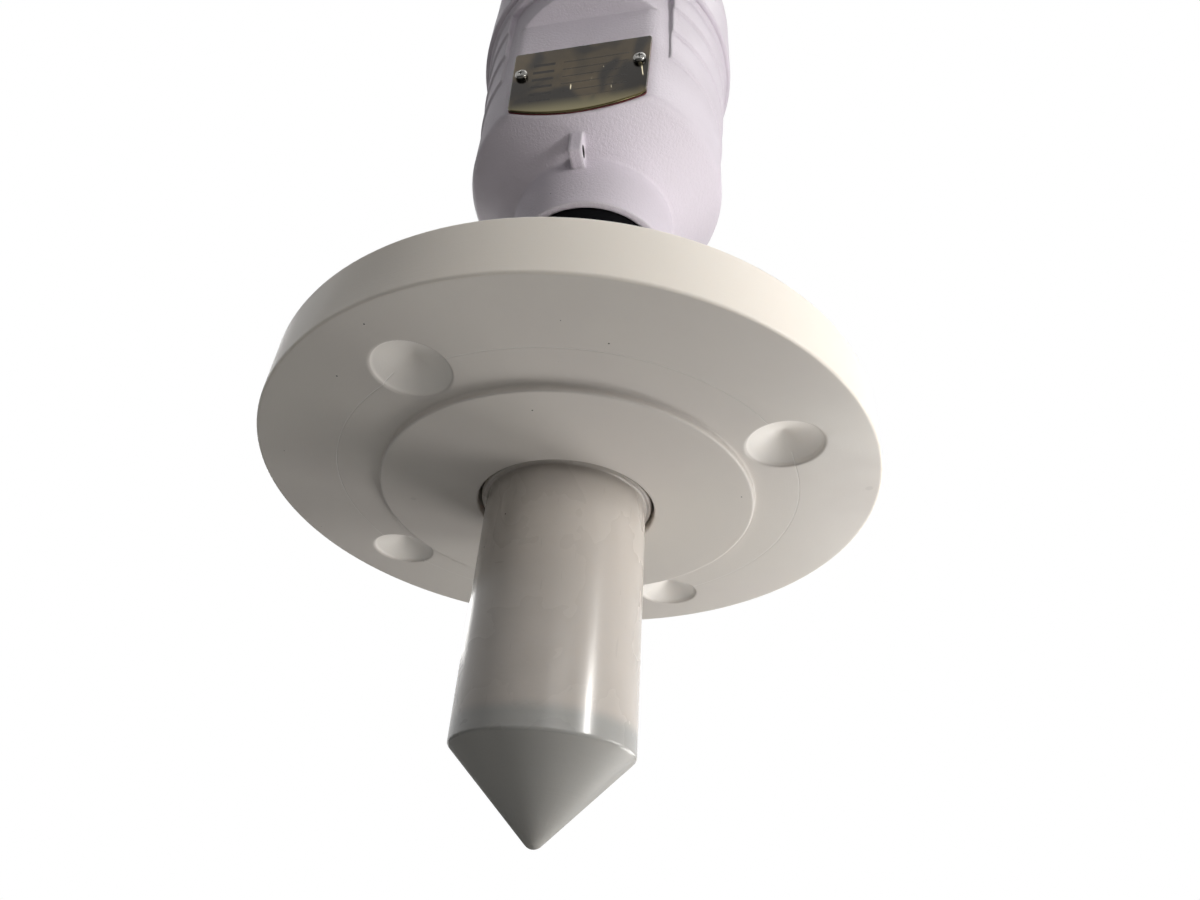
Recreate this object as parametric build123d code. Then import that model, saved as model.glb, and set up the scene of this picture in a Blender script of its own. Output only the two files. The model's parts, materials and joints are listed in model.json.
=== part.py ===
from build123d import *

import os
from math import cos, radians, sin, sqrt, tan

# Radar level transmitter: plastic process flange, cone-tipped antenna and a cast housing that swivels.
# Millimetres. The origin is the centre of the flange's raised face, +Z runs up the axis to the cover.

os.makedirs("parts", exist_ok=True)

# Clearances
running_gap = 0.05      # radial gap of a turning or sliding fit
thread_gap = 0.10       # radial gap between a male and a female thread
thread_end_gap = 0.5    # depth of a blind hole below its screw
overrun = 1.0           # how far a cutter runs past the face that it opens
seat_gap = 0.30         # gap between faces of bodies that move past each other
ring_gap = 0.03         # gap round a seal in its groove

# Screw drives, as shares of the head
pan_round_share = 0.6
cross_size_share = 0.55
cross_depth_share = 0.5
cross_bar_share = 0.25
slot_width_share = 0.2
slot_depth_share = 0.5

# Process flange, DN 50 bolt circle
flange_d = 165.0
flange_t = 18.0
raised_face_d = 102.0
raised_face_h = 2.0
raised_face_bevel = 1.1
flange_lower_round = 2.2
flange_upper_round = 1.0
bolt_circle_d = 125.0
bolt_count = 4
bolt_phase = -126.3
spot_d = 18.6
spot_wall = 1.2
spot_slope = 25.0
spot_nose_d = 3.0
recess_d = 50.4
recess_chamfer = 0.5
socket_d = 59.8
socket_floor = 7.0

# Antenna
antenna_d = 44.0
antenna_reach = 65.6
tip_half_angle = 45.8
tip_round = 2.6
shoulder_round = 0.8
antenna_wall = 4.5
antenna_cavity_depth = 58.0
antenna_collar_t = 5.0
antenna_root_round = 1.5
antenna_lip_d = 47.2
antenna_lip_h = 6.0
antenna_lip_round = 0.8
antenna_lip_fillet = 0.5
antenna_seal_cord_d = 2.2

# Feed horn, feed plug and waveguide
horn_wall = 1.5
horn_depth = 42.0
horn_disc_t = 3.5
waveguide_bore_d = 9.6
waveguide_wall = 1.6
feed_plug_reach = 22.0
feed_plug_engagement = 18.0

# Process neck
neck_tube_d = 38.0
neck_hex_af = 70.0
neck_hex_h = 10.0
neck_hex_chamfer = 1.2
neck_spigot_d = 32.0
neck_top_stand = 1.4
neck_groove_w = 3.0
neck_groove_depth = 1.0

# Swivel
sleeve_cone_h = 6.0
sleeve_foot_d = 40.0
sleeve_below_boss = 2.0
sleeve_seal_cord_d = 2.2
sleeve_seal_heights = (5.0, 10.5)
swivel_nut_d = 52.0
swivel_nut_t = 3.4
swivel_nut_slots = 4
swivel_nut_slot_w = 5.0
swivel_nut_slot_depth = 3.0
lock_screw_d = 5.0
lock_screw_len = 7.0
lock_screw_hex_af = 2.5
lock_screw_chamfer = 0.3
lock_screw_hex_depth = 2.5
lock_pad_d = 11.0
lock_pad_stand = 5.3
lock_height = 15.0

# Housing casting; heights are above the underside of its boss
housing_lift = 97.0
housing_turn = -14.3
housing_wall = 4.0
boss_bore_d = 49.0
boss_bore_chamfer = 0.7
boss_foot_d = 54.4
boss_root_d = 56.4
boss_len = 20.5
boss_root_round = 1.2
bowl_slope = 36.5
bowl_edge_round = 4.0
body_d = 91.6
ledge_heights = (61.5, 77.5, 92.5)
ledge_step = 0.8
ledge_front_gap = 40.4
flare_h = 2.5
shoulder_height = 107.5
shoulder_stand = 4.5
rim_round = 0.8
collar_stand = 0.2
collar_len = 15.5
cavity_floor = 25.0
front_cut = 6.8
front_wall = 3.5
front_top = 89.0
front_edge_round = 9.0
post_count = 3
post_d = 7.0
post_inset = 4.5
post_top = 39.0
post_hole_d = 3.0
post_hole_depth = 8.0

# Lug under the nameplate
lug_t = 4.2
lug_stand = 7.6
lug_bottom = 16.0
lug_top = 26.5
lug_hole_d = 4.0
lug_hole_inset = 3.6
lug_hole_height = 20.0
lug_edge_round = 0.5

# Cable ports at the rear
port_spacing = 40.0
port_drop = 21.5
port_stand = 8.2
port_pad_d = 29.0
port_pad_round = 1.5
port_thread_d = 20.0

# Ground terminal at the rear
ground_drop = 19.5
ground_pad_d = 14.0
ground_pad_stand = 4.2
ground_screw_d = 5.0
ground_screw_len = 7.0
ground_head_d = 9.0
ground_head_h = 3.2
ground_clamp_w = 12.0
ground_clamp_t = 1.6

# Nameplate
plate_t = 0.8
tape_t = 0.4
plate_bottom_w = 46.0
plate_top_w = 48.4
plate_top = 68.0
plate_corner_height = 34.2
plate_sag = 5.0
plate_corner_round = 1.5
plate_screw_spacing = 40.6
plate_screw_height = 53.4
plate_screw_d = 2.5
plate_screw_head_d = 4.4
plate_screw_head_h = 1.5
plate_screw_len = 2.6

# Cable gland
gland_thread_len = 9.0
gland_hex_af = 24.0
gland_hex_t = 5.0
gland_hex_chamfer = 0.6
gland_body_len = 12.0
gland_body_d = 19.0
gland_bore_d = 14.0
gland_washer_t = 1.5
gland_washer_d = 26.0
gland_nut_len = 20.0
gland_nut_hex_len = 9.0
gland_nut_mouth_d = 12.5
gland_nut_wall = 1.8
gland_nut_round = 5.0
gland_insert_len = 12.0
gland_insert_bore_d = 10.0
gland_insert_gap = 0.1

# Blind plug
plug_head_d = 26.0
plug_head_t = 4.0
plug_head_round = 1.0
plug_hex_af = 8.0
plug_hex_depth = 3.0

# Electronics
radio_module_d = 40.0
radio_module_rib_depth = 3.0
radio_module_rib_w = 3.0
radio_module_ribs = 12
wiring_gap = 7.5
cup_wall = 1.8
cup_h = 40.0
cup_ledge_h = 13.0
cup_ledge_w = 2.0
cup_screw_head_d = 5.0
cup_screw_head_h = 2.4
cup_screw_d = 2.9
cup_screw_len = 9.0
main_board_t = 1.6
chip_sizes = ((14.0, 14.0, -9.0, 6.0), (10.0, 10.0, 10.0, 8.0), (18.0, 8.0, 4.0, -12.0))
chip_h = 1.8
carrier_t = 4.0
carrier_column_d = 24.0
carrier_column_h = 13.0
terminal_count = 6
terminal_pitch = 6.0
terminal_block_depth = 13.0
terminal_block_h = 10.0
terminal_block_offset = 20.0
terminal_hole_d = 3.4
terminal_hole_height = 3.3
terminal_screw_d = 3.6
terminal_screw_h = 4.0
contact_count = 4
contact_pitch = 4.0
contact_d = 1.6
contact_h = 3.0

# Display module
display_gap = 4.5
display_wall = 2.0
display_edge_round = 1.0
display_h = 17.0
display_back_t = 2.0
display_board_lift = 9.0
display_board_t = 1.5
screen_w = 46.0
screen_depth = 28.0
screen_offset = 8.0
key_names = ("key_enter", "key_next", "key_plus", "key_escape")
key_pitch = 12.5
key_row_offset = -20.0
key_d = 7.2
key_flange_d = 9.2
key_flange_t = 1.2
key_stem_d = 3.6
key_stand = 1.5
key_edge_round = 0.5
key_travel = 0.8

# Cover
cover_wall = 5.0
cover_h = 33.0
cover_edge_round = 3.0
cover_foot_round = 0.8
cover_lip_t = 4.0
window_lip_w = 5.5
window_edge_w = 3.5
window_t = 5.0
window_gasket_t = 1.0
window_ring_t = 5.0
window_ring_wall = 7.0
window_ring_slot_w = 3.5
window_ring_slot_depth = 1.6
window_thread_inset = 5.0
cover_seal_cord_d = 2.9
grip_count = 12
grip_d = 16.0
grip_depth = 2.0
grip_height = 15.0

# Where a box or cylinder stands against its own origin
on_base = (Align.CENTER, Align.CENTER, Align.MIN)
under_top = (Align.CENTER, Align.CENTER, Align.MAX)
from_edge = (Align.CENTER, Align.MIN, Align.MIN)

# Levels along the axis
boss_foot = housing_lift
boss_root = boss_foot + boss_len
body_r = body_d / 2
bowl_foot_r = boss_root_d / 2
lock_pad_reach = bowl_foot_r + lock_pad_stand
lug_reach = boss_foot_d / 2 + lug_stand
lug_hole_reach = lug_reach - lug_hole_inset
port_face = body_r + port_stand
ground_pad_reach = body_r + ground_pad_stand
shoulder_r = body_r + shoulder_stand
collar_r = body_r + collar_stand
inside_r = collar_r - housing_wall
front_plane = front_cut - body_r
flare_foot_r = body_r + len(ledge_heights) * ledge_step
bowl_rise = (body_r - bowl_foot_r) * tan(radians(bowl_slope))
cavity_base = boss_foot + cavity_floor
shoulder = boss_foot + shoulder_height
flare_foot = shoulder - flare_h
port_height = shoulder_height - port_drop
ground_height = port_height - port_pad_d / 2 - ground_drop
collar_top = shoulder + collar_len
cover_foot = shoulder + seat_gap
cup_base = boss_foot + post_top
carrier_base = cup_base + cup_h
display_base = carrier_base + carrier_t + carrier_column_h
display_top = display_base + display_h
collar_z = socket_floor + antenna_collar_t
hex_top = flange_t + neck_hex_h
tube_top = boss_foot - sleeve_below_boss - sleeve_cone_h
sleeve_top = cavity_base + seat_gap
sleeve_r = boss_bore_d / 2 - running_gap
neck_top = sleeve_top + swivel_nut_t + neck_top_stand
radio_base = neck_top + seat_gap
cover_seal_r = (collar_r + inside_r) / 2
cover_seal_space = cover_seal_cord_d + 2 * ring_gap
cover_shoulder = collar_top + cover_seal_space
cover_top = cover_foot + cover_h
window_seat = cover_top - cover_lip_t
cup_r = inside_r - wiring_gap
post_circle_r = cup_r - post_inset
display_r = inside_r - display_gap
cover_r = collar_r + cover_wall
window_thread_r = collar_r - window_thread_inset
window_r = window_thread_r - window_edge_w
window_opening_r = window_r - window_lip_w
plate_face = front_plane - tape_t


def turned(points, rounds=None, arc=360.0):
    """Solid of revolution about Z from (radius, height) corners; rounds gives some corners a radius."""
    face = make_face(Polyline(*points, close=True))
    for corner, radius in (rounds or {}).items():
        vertex = face.vertices().sort_by_distance((*points[corner], 0))[0]
        face = fillet(vertex, radius)
    return revolve(Plane.XZ * face, Axis.Z, arc)


def tube(inner_d, outer_d, base, top):
    """Straight ring about Z between two heights; a bore of zero gives a disc."""
    return turned([(inner_d / 2, base), (outer_d / 2, base), (outer_d / 2, top), (inner_d / 2, top)])


def hexagon(across_flats, height):
    """Upright hexagonal prism that stands on the XY plane."""
    return extrude(RegularPolygon(across_flats / 2, 6, major_radius=False), height)


def chamfered_hexagon(across_flats, height, chamfer_h):
    """Hexagon whose corners are turned off at both ends, as on a nut."""
    edge_r = across_flats / 2
    corner_r = edge_r / cos(radians(30)) + chamfer_h
    turned_blank = turned([
        (0, 0), (edge_r, 0), (corner_r, chamfer_h), (corner_r, height - chamfer_h), (edge_r, height),
        (0, height),
    ])
    return hexagon(across_flats, height) & turned_blank


def rearward(x, height, y=0.0):
    """Plane at (x, y, height) whose own Z points to the housing's rear."""
    return Plane(origin=(x, y, height), x_dir=(-1, 0, 0), z_dir=(0, 1, 0))


def on_front(distance, height=0.0):
    """Plane parallel to the flat front at this distance from the axis; its own Z points outwards."""
    return Plane(origin=(0, distance, height), x_dir=(1, 0, 0), z_dir=(0, -1, 0))


def write(name, solid, turn=0.0):
    """Writes one node, turned about the axis."""
    export_step(Rot(0, 0, turn) * solid, f"parts/{name}.step")


def write_housed(name, solid):
    """Writes a node that is drawn with the nameplate facing -Y and rides on the housing."""
    write(name, solid, housing_turn)


# Process assembly

def process_flange():
    """Blank disc with raised face, spot-drilled marks, antenna recess and threaded socket."""
    face_r = raised_face_d / 2
    rim_r = flange_d / 2
    body = turned(
        [
            (recess_d / 2 + recess_chamfer, 0), (face_r, 0), (face_r + raised_face_bevel, raised_face_h),
            (rim_r, raised_face_h), (rim_r, flange_t), (socket_d / 2, flange_t), (socket_d / 2, socket_floor),
            (recess_d / 2, socket_floor), (recess_d / 2, recess_chamfer),
        ],
        {3: flange_lower_round, 4: flange_upper_round},
    )
    cone_rise = (spot_d - spot_nose_d) / 2 * tan(radians(spot_slope))
    spot = turned([
        (0, -overrun), (spot_d / 2, -overrun), (spot_d / 2, spot_wall),
        (spot_nose_d / 2, spot_wall + cone_rise), (0, spot_wall + cone_rise),
    ])
    for place in PolarLocations(bolt_circle_d / 2, bolt_count, start_angle=bolt_phase):
        body -= Pos(0, 0, raised_face_h) * place * spot
    groove_mid_r, groove_w, groove_depth = antenna_seal_groove()
    groove_mid_d = 2 * groove_mid_r
    groove_foot = socket_floor - groove_depth
    return body - tube(groove_mid_d - groove_w, groove_mid_d + groove_w, groove_foot, socket_floor)


def antenna_seal_groove():
    """Middle radius, width and depth of the seal groove in the socket floor."""
    size = antenna_seal_cord_d + 2 * ring_gap
    return (recess_d + socket_d) / 4, size, size


def antenna_seal():
    """Seal ring between the socket floor and the antenna collar."""
    mid_r, _, depth = antenna_seal_groove()
    return Pos(0, 0, socket_floor - depth / 2) * Torus(mid_r, antenna_seal_cord_d / 2)


def antenna_shell():
    """Hollow plastic cylinder with a solid cone tip, a lip at its root and a collar that the neck clamps."""
    shell_r = antenna_d / 2
    cavity_r = shell_r - antenna_wall
    tip = -antenna_reach - shell_r / tan(radians(tip_half_angle))
    lip_foot = socket_floor - antenna_lip_h
    return turned(
        [
            (0, tip), (shell_r, -antenna_reach), (shell_r, lip_foot), (antenna_lip_d / 2, lip_foot),
            (antenna_lip_d / 2, socket_floor), (socket_d / 2 - thread_gap, socket_floor),
            (socket_d / 2 - thread_gap, collar_z), (cavity_r, collar_z), (cavity_r, -antenna_cavity_depth),
            (0, -antenna_cavity_depth),
        ],
        {1: shoulder_round, 2: antenna_lip_fillet, 3: antenna_lip_round, 8: antenna_root_round},
    ) - tip_cutter(tip)


def tip_cutter(tip):
    """Ring that rounds the cone's point off to a ball nose."""
    half = radians(tip_half_angle)
    ball_z = tip + tip_round / sin(half)
    touch_r = tip_round * cos(half)
    touch_z = ball_z - tip_round * sin(half)
    nose = Pos(0, 0, ball_z) * Sphere(tip_round)
    blank = turned([(0, tip - tip_round), (touch_r, tip - tip_round), (touch_r, touch_z), (0, touch_z)])
    return blank - nose


def feed_horn():
    """Metal horn inside the antenna: a disc on top and a flared wall with its mouth open downwards."""
    mouth_r = antenna_d / 2 - antenna_wall - running_gap
    throat_r = waveguide_bore_d / 2
    disc_foot = collar_z - horn_disc_t
    return turned([
        (throat_r, collar_z), (mouth_r, collar_z), (mouth_r, disc_foot), (throat_r + horn_wall, disc_foot),
        (mouth_r, disc_foot - horn_depth), (mouth_r - horn_wall, disc_foot - horn_depth),
        (throat_r, disc_foot),
    ])


def feed_plug():
    """Pointed plastic plug that closes the waveguide towards the horn."""
    plug_r = waveguide_bore_d / 2 - running_gap
    foot = collar_z - horn_disc_t
    return turned([
        (0, foot - feed_plug_reach), (plug_r, foot), (plug_r, foot + feed_plug_engagement),
        (0, foot + feed_plug_engagement),
    ])


def waveguide():
    """Round waveguide tube through the neck."""
    return tube(waveguide_bore_d, waveguide_bore_d + 2 * waveguide_wall, collar_z, neck_top)


def process_neck():
    """Stainless neck: thread into the flange socket, hexagon, tube and the spigot that carries the swivel."""
    bore_r = waveguide_bore_d / 2 + waveguide_wall + running_gap
    body = turned([
        (bore_r, collar_z), (socket_d / 2 - thread_gap, collar_z), (socket_d / 2 - thread_gap, flange_t),
        (neck_tube_d / 2, flange_t), (neck_tube_d / 2, tube_top), (neck_spigot_d / 2, tube_top),
        (neck_spigot_d / 2, neck_top), (bore_r, neck_top),
    ])
    hexagon_blank = Pos(0, 0, flange_t) * chamfered_hexagon(neck_hex_af, neck_hex_h, neck_hex_chamfer)
    body += hexagon_blank - tube(0, neck_tube_d, flange_t, hex_top)
    groove_top = tube_top - neck_groove_w
    groove_d = neck_tube_d - 2 * neck_groove_depth
    return body - tube(groove_d, neck_tube_d + overrun, groove_top - neck_groove_w, groove_top)


def swivel_sleeve():
    """Black bearing sleeve on the neck's spigot that the housing's boss turns on."""
    bore_r = neck_spigot_d / 2 + running_gap
    body = turned([
        (bore_r, tube_top), (sleeve_foot_d / 2, tube_top), (sleeve_r, tube_top + sleeve_cone_h),
        (sleeve_r, sleeve_top), (bore_r, sleeve_top),
    ])
    depth = sleeve_seal_cord_d + ring_gap
    width = sleeve_seal_cord_d + 2 * ring_gap
    for height in sleeve_seal_heights:
        middle = boss_foot + height
        body -= tube(2 * (sleeve_r - depth), 2 * sleeve_r + overrun, middle - width / 2, middle + width / 2)
    return body


def sleeve_seals():
    """Two seal rings in the sleeve's grooves."""
    mid_r = sleeve_r - sleeve_seal_cord_d / 2
    ring = Torus(mid_r, sleeve_seal_cord_d / 2)
    return Compound([Pos(0, 0, boss_foot + height) * ring for height in sleeve_seal_heights])


def swivel_nut():
    """Slotted round nut that keeps the housing on the sleeve."""
    body = tube(neck_spigot_d + 2 * thread_gap, swivel_nut_d, sleeve_top, sleeve_top + swivel_nut_t)
    slot = Box(2 * swivel_nut_slot_depth, swivel_nut_slot_w, swivel_nut_t, align=on_base)
    for place in PolarLocations(swivel_nut_d / 2, swivel_nut_slots):
        body -= Pos(0, 0, sleeve_top) * place * slot
    return body


# Housing, drawn with its flat front facing -Y

def housing_outside():
    """Outer form of the casting: boss, bowl, side, flare and collar."""
    return turned(
        [
            (0, boss_foot), (boss_foot_d / 2, boss_foot), (bowl_foot_r, boss_root),
            (body_r, boss_root + bowl_rise), (body_r, flare_foot), (flare_foot_r, flare_foot),
            (shoulder_r, shoulder), (collar_r, shoulder), (collar_r, collar_top), (0, collar_top),
        ],
        {2: boss_root_round, 3: bowl_edge_round, 6: rim_round},
    )


def ledge_bands():
    """Stepped bands round the sides and the rear, left out across the flat front."""
    bands = None
    inner_r = body_r - housing_wall / 2
    for number, height in enumerate(ledge_heights, start=1):
        foot = boss_foot + height
        outer_r = body_r + number * ledge_step
        ring = turned(
            [
                (inner_r, foot), (outer_r - ledge_step, foot), (outer_r, foot + ledge_step),
                (outer_r, flare_foot), (inner_r, flare_foot),
            ],
            arc=360 - 2 * ledge_front_gap,
        )
        band = Rot(0, 0, ledge_front_gap - 90) * ring
        bands = band if bands is None else bands + band
    return bands


def front_prism(plane, top):
    """Everything in front of the flat front at this distance, below its sloping top edge."""
    reach = 2 * shoulder_r
    side = Polyline(
        (plane, boss_foot), (plane, top), (plane - reach, top + reach), (plane - reach, boss_foot), close=True
    )
    return extrude(Plane.YZ * make_face(side), reach, both=True)


def front_corners():
    """Slivers cut from the upright corners between the flat front and the round sides."""
    sharp = Circle(body_r) - Pos(0, front_plane - body_r) * Rectangle(body_d, body_d)
    rounded = fillet(sharp.vertices(), front_edge_round)
    return Pos(0, 0, boss_foot) * extrude(sharp - rounded, front_top)


def lug():
    """Radial plate under the nameplate, drilled across for a seal wire."""
    root = boss_bore_d / 2 + (boss_foot_d - boss_bore_d) / 4
    plate = Pos(0, 0, boss_foot + lug_bottom) * Box(
        lug_t, lug_reach - root, lug_top - lug_bottom, align=from_edge
    )
    plate = fillet(plate.edges().group_by(Axis.Z)[0].filter_by(Axis.X).sort_by(Axis.Y)[:1], lug_edge_round)
    return Pos(0, -lug_reach, 0) * plate


def lug_hole():
    """Drill for the lug's cross hole."""
    middle = Plane(origin=(0, -lug_hole_reach, boss_foot + lug_hole_height), z_dir=(1, 0, 0))
    return middle * Cylinder(lug_hole_d / 2, 2 * lug_t)


def port_pad():
    """Raised pad at the rear that both cable ports share."""
    face = rearward(0, boss_foot + port_height) * SlotCenterToCenter(port_spacing, port_pad_d)
    pad = extrude(face, port_face)
    return fillet(pad.edges().group_by(Axis.Y)[-1], port_pad_round)


def port_places():
    """Planes of the cable ports on the pad's face: the gland's, then the plug's."""
    return [rearward(side * port_spacing / 2, boss_foot + port_height, port_face) for side in (-1, 1)]


def rear_pad(diameter, reach, height):
    """Round pad that stands out of the rear wall at this height."""
    return rearward(0, boss_foot + height) * extrude(Circle(diameter / 2), reach)


def cavity():
    """Inside of the casting: boss bore, bowl parallel to the outside, and a flat behind the front."""
    bore_r = boss_bore_d / 2
    slope = tan(radians(bowl_slope))
    lift = housing_wall / cos(radians(bowl_slope))
    floor_r = bowl_foot_r + (cavity_base - boss_root - lift) / slope
    bowl_top = boss_root + lift + (inside_r - bowl_foot_r) * slope
    space = turned([
        (0, boss_foot), (bore_r + boss_bore_chamfer, boss_foot), (bore_r, boss_foot + boss_bore_chamfer),
        (bore_r, cavity_base), (floor_r, cavity_base), (inside_r, bowl_top), (inside_r, collar_top),
        (0, collar_top),
    ])
    inner_top = boss_foot + front_top + front_wall * (sqrt(2) - 1)
    return space - front_prism(front_plane + front_wall, inner_top)


def post_places():
    """Places of the posts that carry the electronics cup."""
    return PolarLocations(post_circle_r, post_count, start_angle=90)


def housing_body():
    """Cast housing with every cut and bore."""
    outside = housing_outside() - front_prism(front_plane, boss_foot + front_top) - front_corners()
    outside += ledge_bands()
    posts = posts_blank() & outside
    outside += lug() + port_pad()
    outside += rear_pad(lock_pad_d, lock_pad_reach, lock_height)
    outside += rear_pad(ground_pad_d, ground_pad_reach, ground_height)
    body = outside - cavity() - lug_hole()
    for port in port_places():
        body -= port * extrude(Circle(port_thread_d / 2), -port_face)
    body -= rearward(0, boss_foot + lock_height) * extrude(Circle(lock_screw_d / 2), lock_pad_reach)
    ground_face = rearward(0, boss_foot + ground_height, ground_pad_reach + ground_clamp_t)
    body -= ground_face * extrude(Circle(ground_screw_d / 2), -(ground_screw_len + thread_end_gap))
    for place in PolarLocations(plate_screw_spacing / 2, 2):
        body -= on_front(front_plane, boss_foot + plate_screw_height) * place * extrude(
            Circle(plate_screw_d / 2), -plate_screw_len
        )
    body += posts
    hole = tube(0, post_hole_d, cup_base - post_hole_depth, cup_base)
    for place in post_places():
        body -= place * hole
    return body


def posts_blank():
    """Posts that carry the electronics cup, long enough to run into the bowl's wall."""
    post = tube(0, post_d, boss_root, cup_base)
    first, *others = [place * post for place in post_places()]
    return first + others


def swivel_lock_screw():
    """Set screw at the rear of the boss that locks the swivel."""
    tip = sleeve_r + running_gap + ring_gap
    screw = Cylinder(lock_screw_d / 2 - thread_gap, lock_screw_len, align=on_base)
    screw = chamfer(screw.edges().filter_by(GeomType.CIRCLE), lock_screw_chamfer)
    socket = hexagon(lock_screw_hex_af, lock_screw_hex_depth)
    screw -= Pos(0, 0, lock_screw_len - lock_screw_hex_depth) * socket
    return rearward(0, boss_foot + lock_height, tip) * screw


def plate_outline(grow=0.0):
    """Nameplate outline: straight top, sides that open upwards, arc along the bottom."""
    half_bottom = plate_bottom_w / 2 + grow
    half_top = plate_top_w / 2 + grow
    corner = boss_foot + plate_corner_height - grow
    top = boss_foot + plate_top + grow
    foot = ThreePointArc((-half_bottom, corner), (0, corner - plate_sag), (half_bottom, corner))
    rest = Polyline((half_bottom, corner), (half_top, top), (-half_top, top), (-half_bottom, corner))
    face = make_face(foot + rest)
    return fillet(face.vertices(), plate_corner_round)


def plate_sheet(distance, thickness, hole_d):
    """Sheet with the nameplate's outline, its inner face at this distance from the axis."""
    sheet = extrude(on_front(distance) * plate_outline(), thickness)
    hole = extrude(Circle(hole_d / 2), thickness)
    for place in PolarLocations(plate_screw_spacing / 2, 2):
        sheet -= on_front(distance, boss_foot + plate_screw_height) * place * hole
    return sheet


def nameplate():
    """Bare stainless nameplate."""
    return plate_sheet(plate_face, plate_t, plate_screw_d)


def nameplate_tape():
    """Adhesive sheet behind the nameplate."""
    return plate_sheet(front_plane, tape_t, plate_screw_d)


def pan_screw(head_d, head_h, shank_d, shank_len):
    """Pan-head screw: the head's seat on the XY plane, the shank below it."""
    return turned(
        [
            (0, -shank_len), (shank_d / 2, -shank_len), (shank_d / 2, 0), (head_d / 2, 0),
            (head_d / 2, head_h), (0, head_h),
        ],
        {4: head_h * pan_round_share},
    )


def cross_recess(size, depth):
    """Cross-shaped recess cutter below the XY plane."""
    bar = Box(size, size * cross_bar_share, depth, align=under_top)
    return bar + Rot(0, 0, 90) * bar


def nameplate_screws():
    """Two pan-head screws through the nameplate."""
    shank_d = plate_screw_d - 2 * thread_gap
    shank_len = plate_t + tape_t + plate_screw_len - thread_end_gap
    screw = pan_screw(plate_screw_head_d, plate_screw_head_h, shank_d, shank_len)
    recess = cross_recess(plate_screw_head_d * cross_size_share, plate_screw_head_h * cross_depth_share)
    screw -= Pos(0, 0, plate_screw_head_h) * recess
    seat = on_front(plate_face - plate_t, boss_foot + plate_screw_height)
    return Compound([seat * place * screw for place in PolarLocations(plate_screw_spacing / 2, 2)])


def ground_clamp():
    """Square clamp washer of the ground terminal."""
    sheet = Box(ground_clamp_w, ground_clamp_w, ground_clamp_t, align=on_base)
    sheet -= Cylinder(ground_screw_d / 2, 2 * ground_clamp_t)
    return rearward(0, boss_foot + ground_height, ground_pad_reach) * sheet


def ground_screw():
    """Ground terminal screw."""
    screw = pan_screw(ground_head_d, ground_head_h, ground_screw_d - 2 * thread_gap, ground_screw_len)
    slot = Box(
        ground_head_d, ground_head_h * 2 * slot_width_share, ground_head_h * slot_depth_share, align=under_top
    )
    screw -= Pos(0, 0, ground_head_h) * slot
    return rearward(0, boss_foot + ground_height, ground_pad_reach + ground_clamp_t) * screw


# Cable gland and blind plug, drawn on the port's plane

def port_washer(outer_d):
    """Flat sealing washer under a gland or plug."""
    return turned([
        (port_thread_d / 2, 0), (outer_d / 2, 0), (outer_d / 2, gland_washer_t),
        (port_thread_d / 2, gland_washer_t),
    ])


def gland_body():
    """Gland body: thread, hexagon and the barrel that holds the rubber insert."""
    thread_r = port_thread_d / 2 - thread_gap
    foot = gland_washer_t
    top = foot + gland_hex_t + gland_body_len
    seat = top - gland_insert_len
    body = turned([
        (gland_bore_d / 2, -gland_thread_len), (thread_r, -gland_thread_len), (thread_r, foot),
        (gland_body_d / 2, foot), (gland_body_d / 2, top), (gland_insert_r(), top), (gland_insert_r(), seat),
        (gland_bore_d / 2, seat),
    ])
    grip = chamfered_hexagon(gland_hex_af, gland_hex_t, gland_hex_chamfer)
    return body + Pos(0, 0, foot) * (grip - tube(0, gland_body_d, 0, gland_hex_t))


def gland_insert_r():
    """Radius of the pocket that holds the rubber insert."""
    return gland_body_d / 2 - gland_nut_wall / 2


def gland_insert():
    """Rubber sealing insert that grips the cable."""
    top = gland_washer_t + gland_hex_t + gland_body_len
    outer_r = gland_insert_r() - gland_insert_gap
    return turned([
        (gland_insert_bore_d / 2, top - gland_insert_len), (outer_r, top - gland_insert_len), (outer_r, top),
        (gland_insert_bore_d / 2, top),
    ])


def gland_cap_nut():
    """Cap nut of the gland: hexagon, domed end and the cable mouth."""
    foot = gland_washer_t + gland_hex_t + seat_gap
    top = foot + gland_nut_len
    inner_r = gland_body_d / 2 + thread_gap
    outer_r = gland_hex_af / 2
    press_z = gland_washer_t + gland_hex_t + gland_body_len + ring_gap
    dome = turned(
        [
            (inner_r, foot), (outer_r, foot), (outer_r, top), (gland_nut_mouth_d / 2, top),
            (gland_nut_mouth_d / 2, press_z + gland_nut_wall), (inner_r, press_z),
        ],
        {2: gland_nut_round},
    )
    grip = chamfered_hexagon(gland_hex_af, gland_nut_hex_len, gland_hex_chamfer)
    return dome + Pos(0, 0, foot) * (grip - tube(0, gland_hex_af, 0, gland_nut_hex_len))


def blind_plug():
    """Threaded plug with a hexagon socket for the unused port."""
    thread_r = port_thread_d / 2 - thread_gap
    top = gland_washer_t + plug_head_t
    body = turned(
        [
            (0, -gland_thread_len), (thread_r, -gland_thread_len), (thread_r, gland_washer_t),
            (plug_head_d / 2, gland_washer_t), (plug_head_d / 2, top), (0, top),
        ],
        {4: plug_head_round},
    )
    return body - Pos(0, 0, top - plug_hex_depth) * hexagon(plug_hex_af, plug_hex_depth)


# Electronics inside the housing

def radio_module():
    """Ribbed metal can above the waveguide."""
    body = tube(waveguide_bore_d, radio_module_d, radio_base, cup_base)
    notch = Box(2 * radio_module_rib_depth, radio_module_rib_w, cup_base - radio_base, align=on_base)
    for place in PolarLocations(radio_module_d / 2, radio_module_ribs):
        body -= Pos(0, 0, radio_base) * place * notch
    return body


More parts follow.
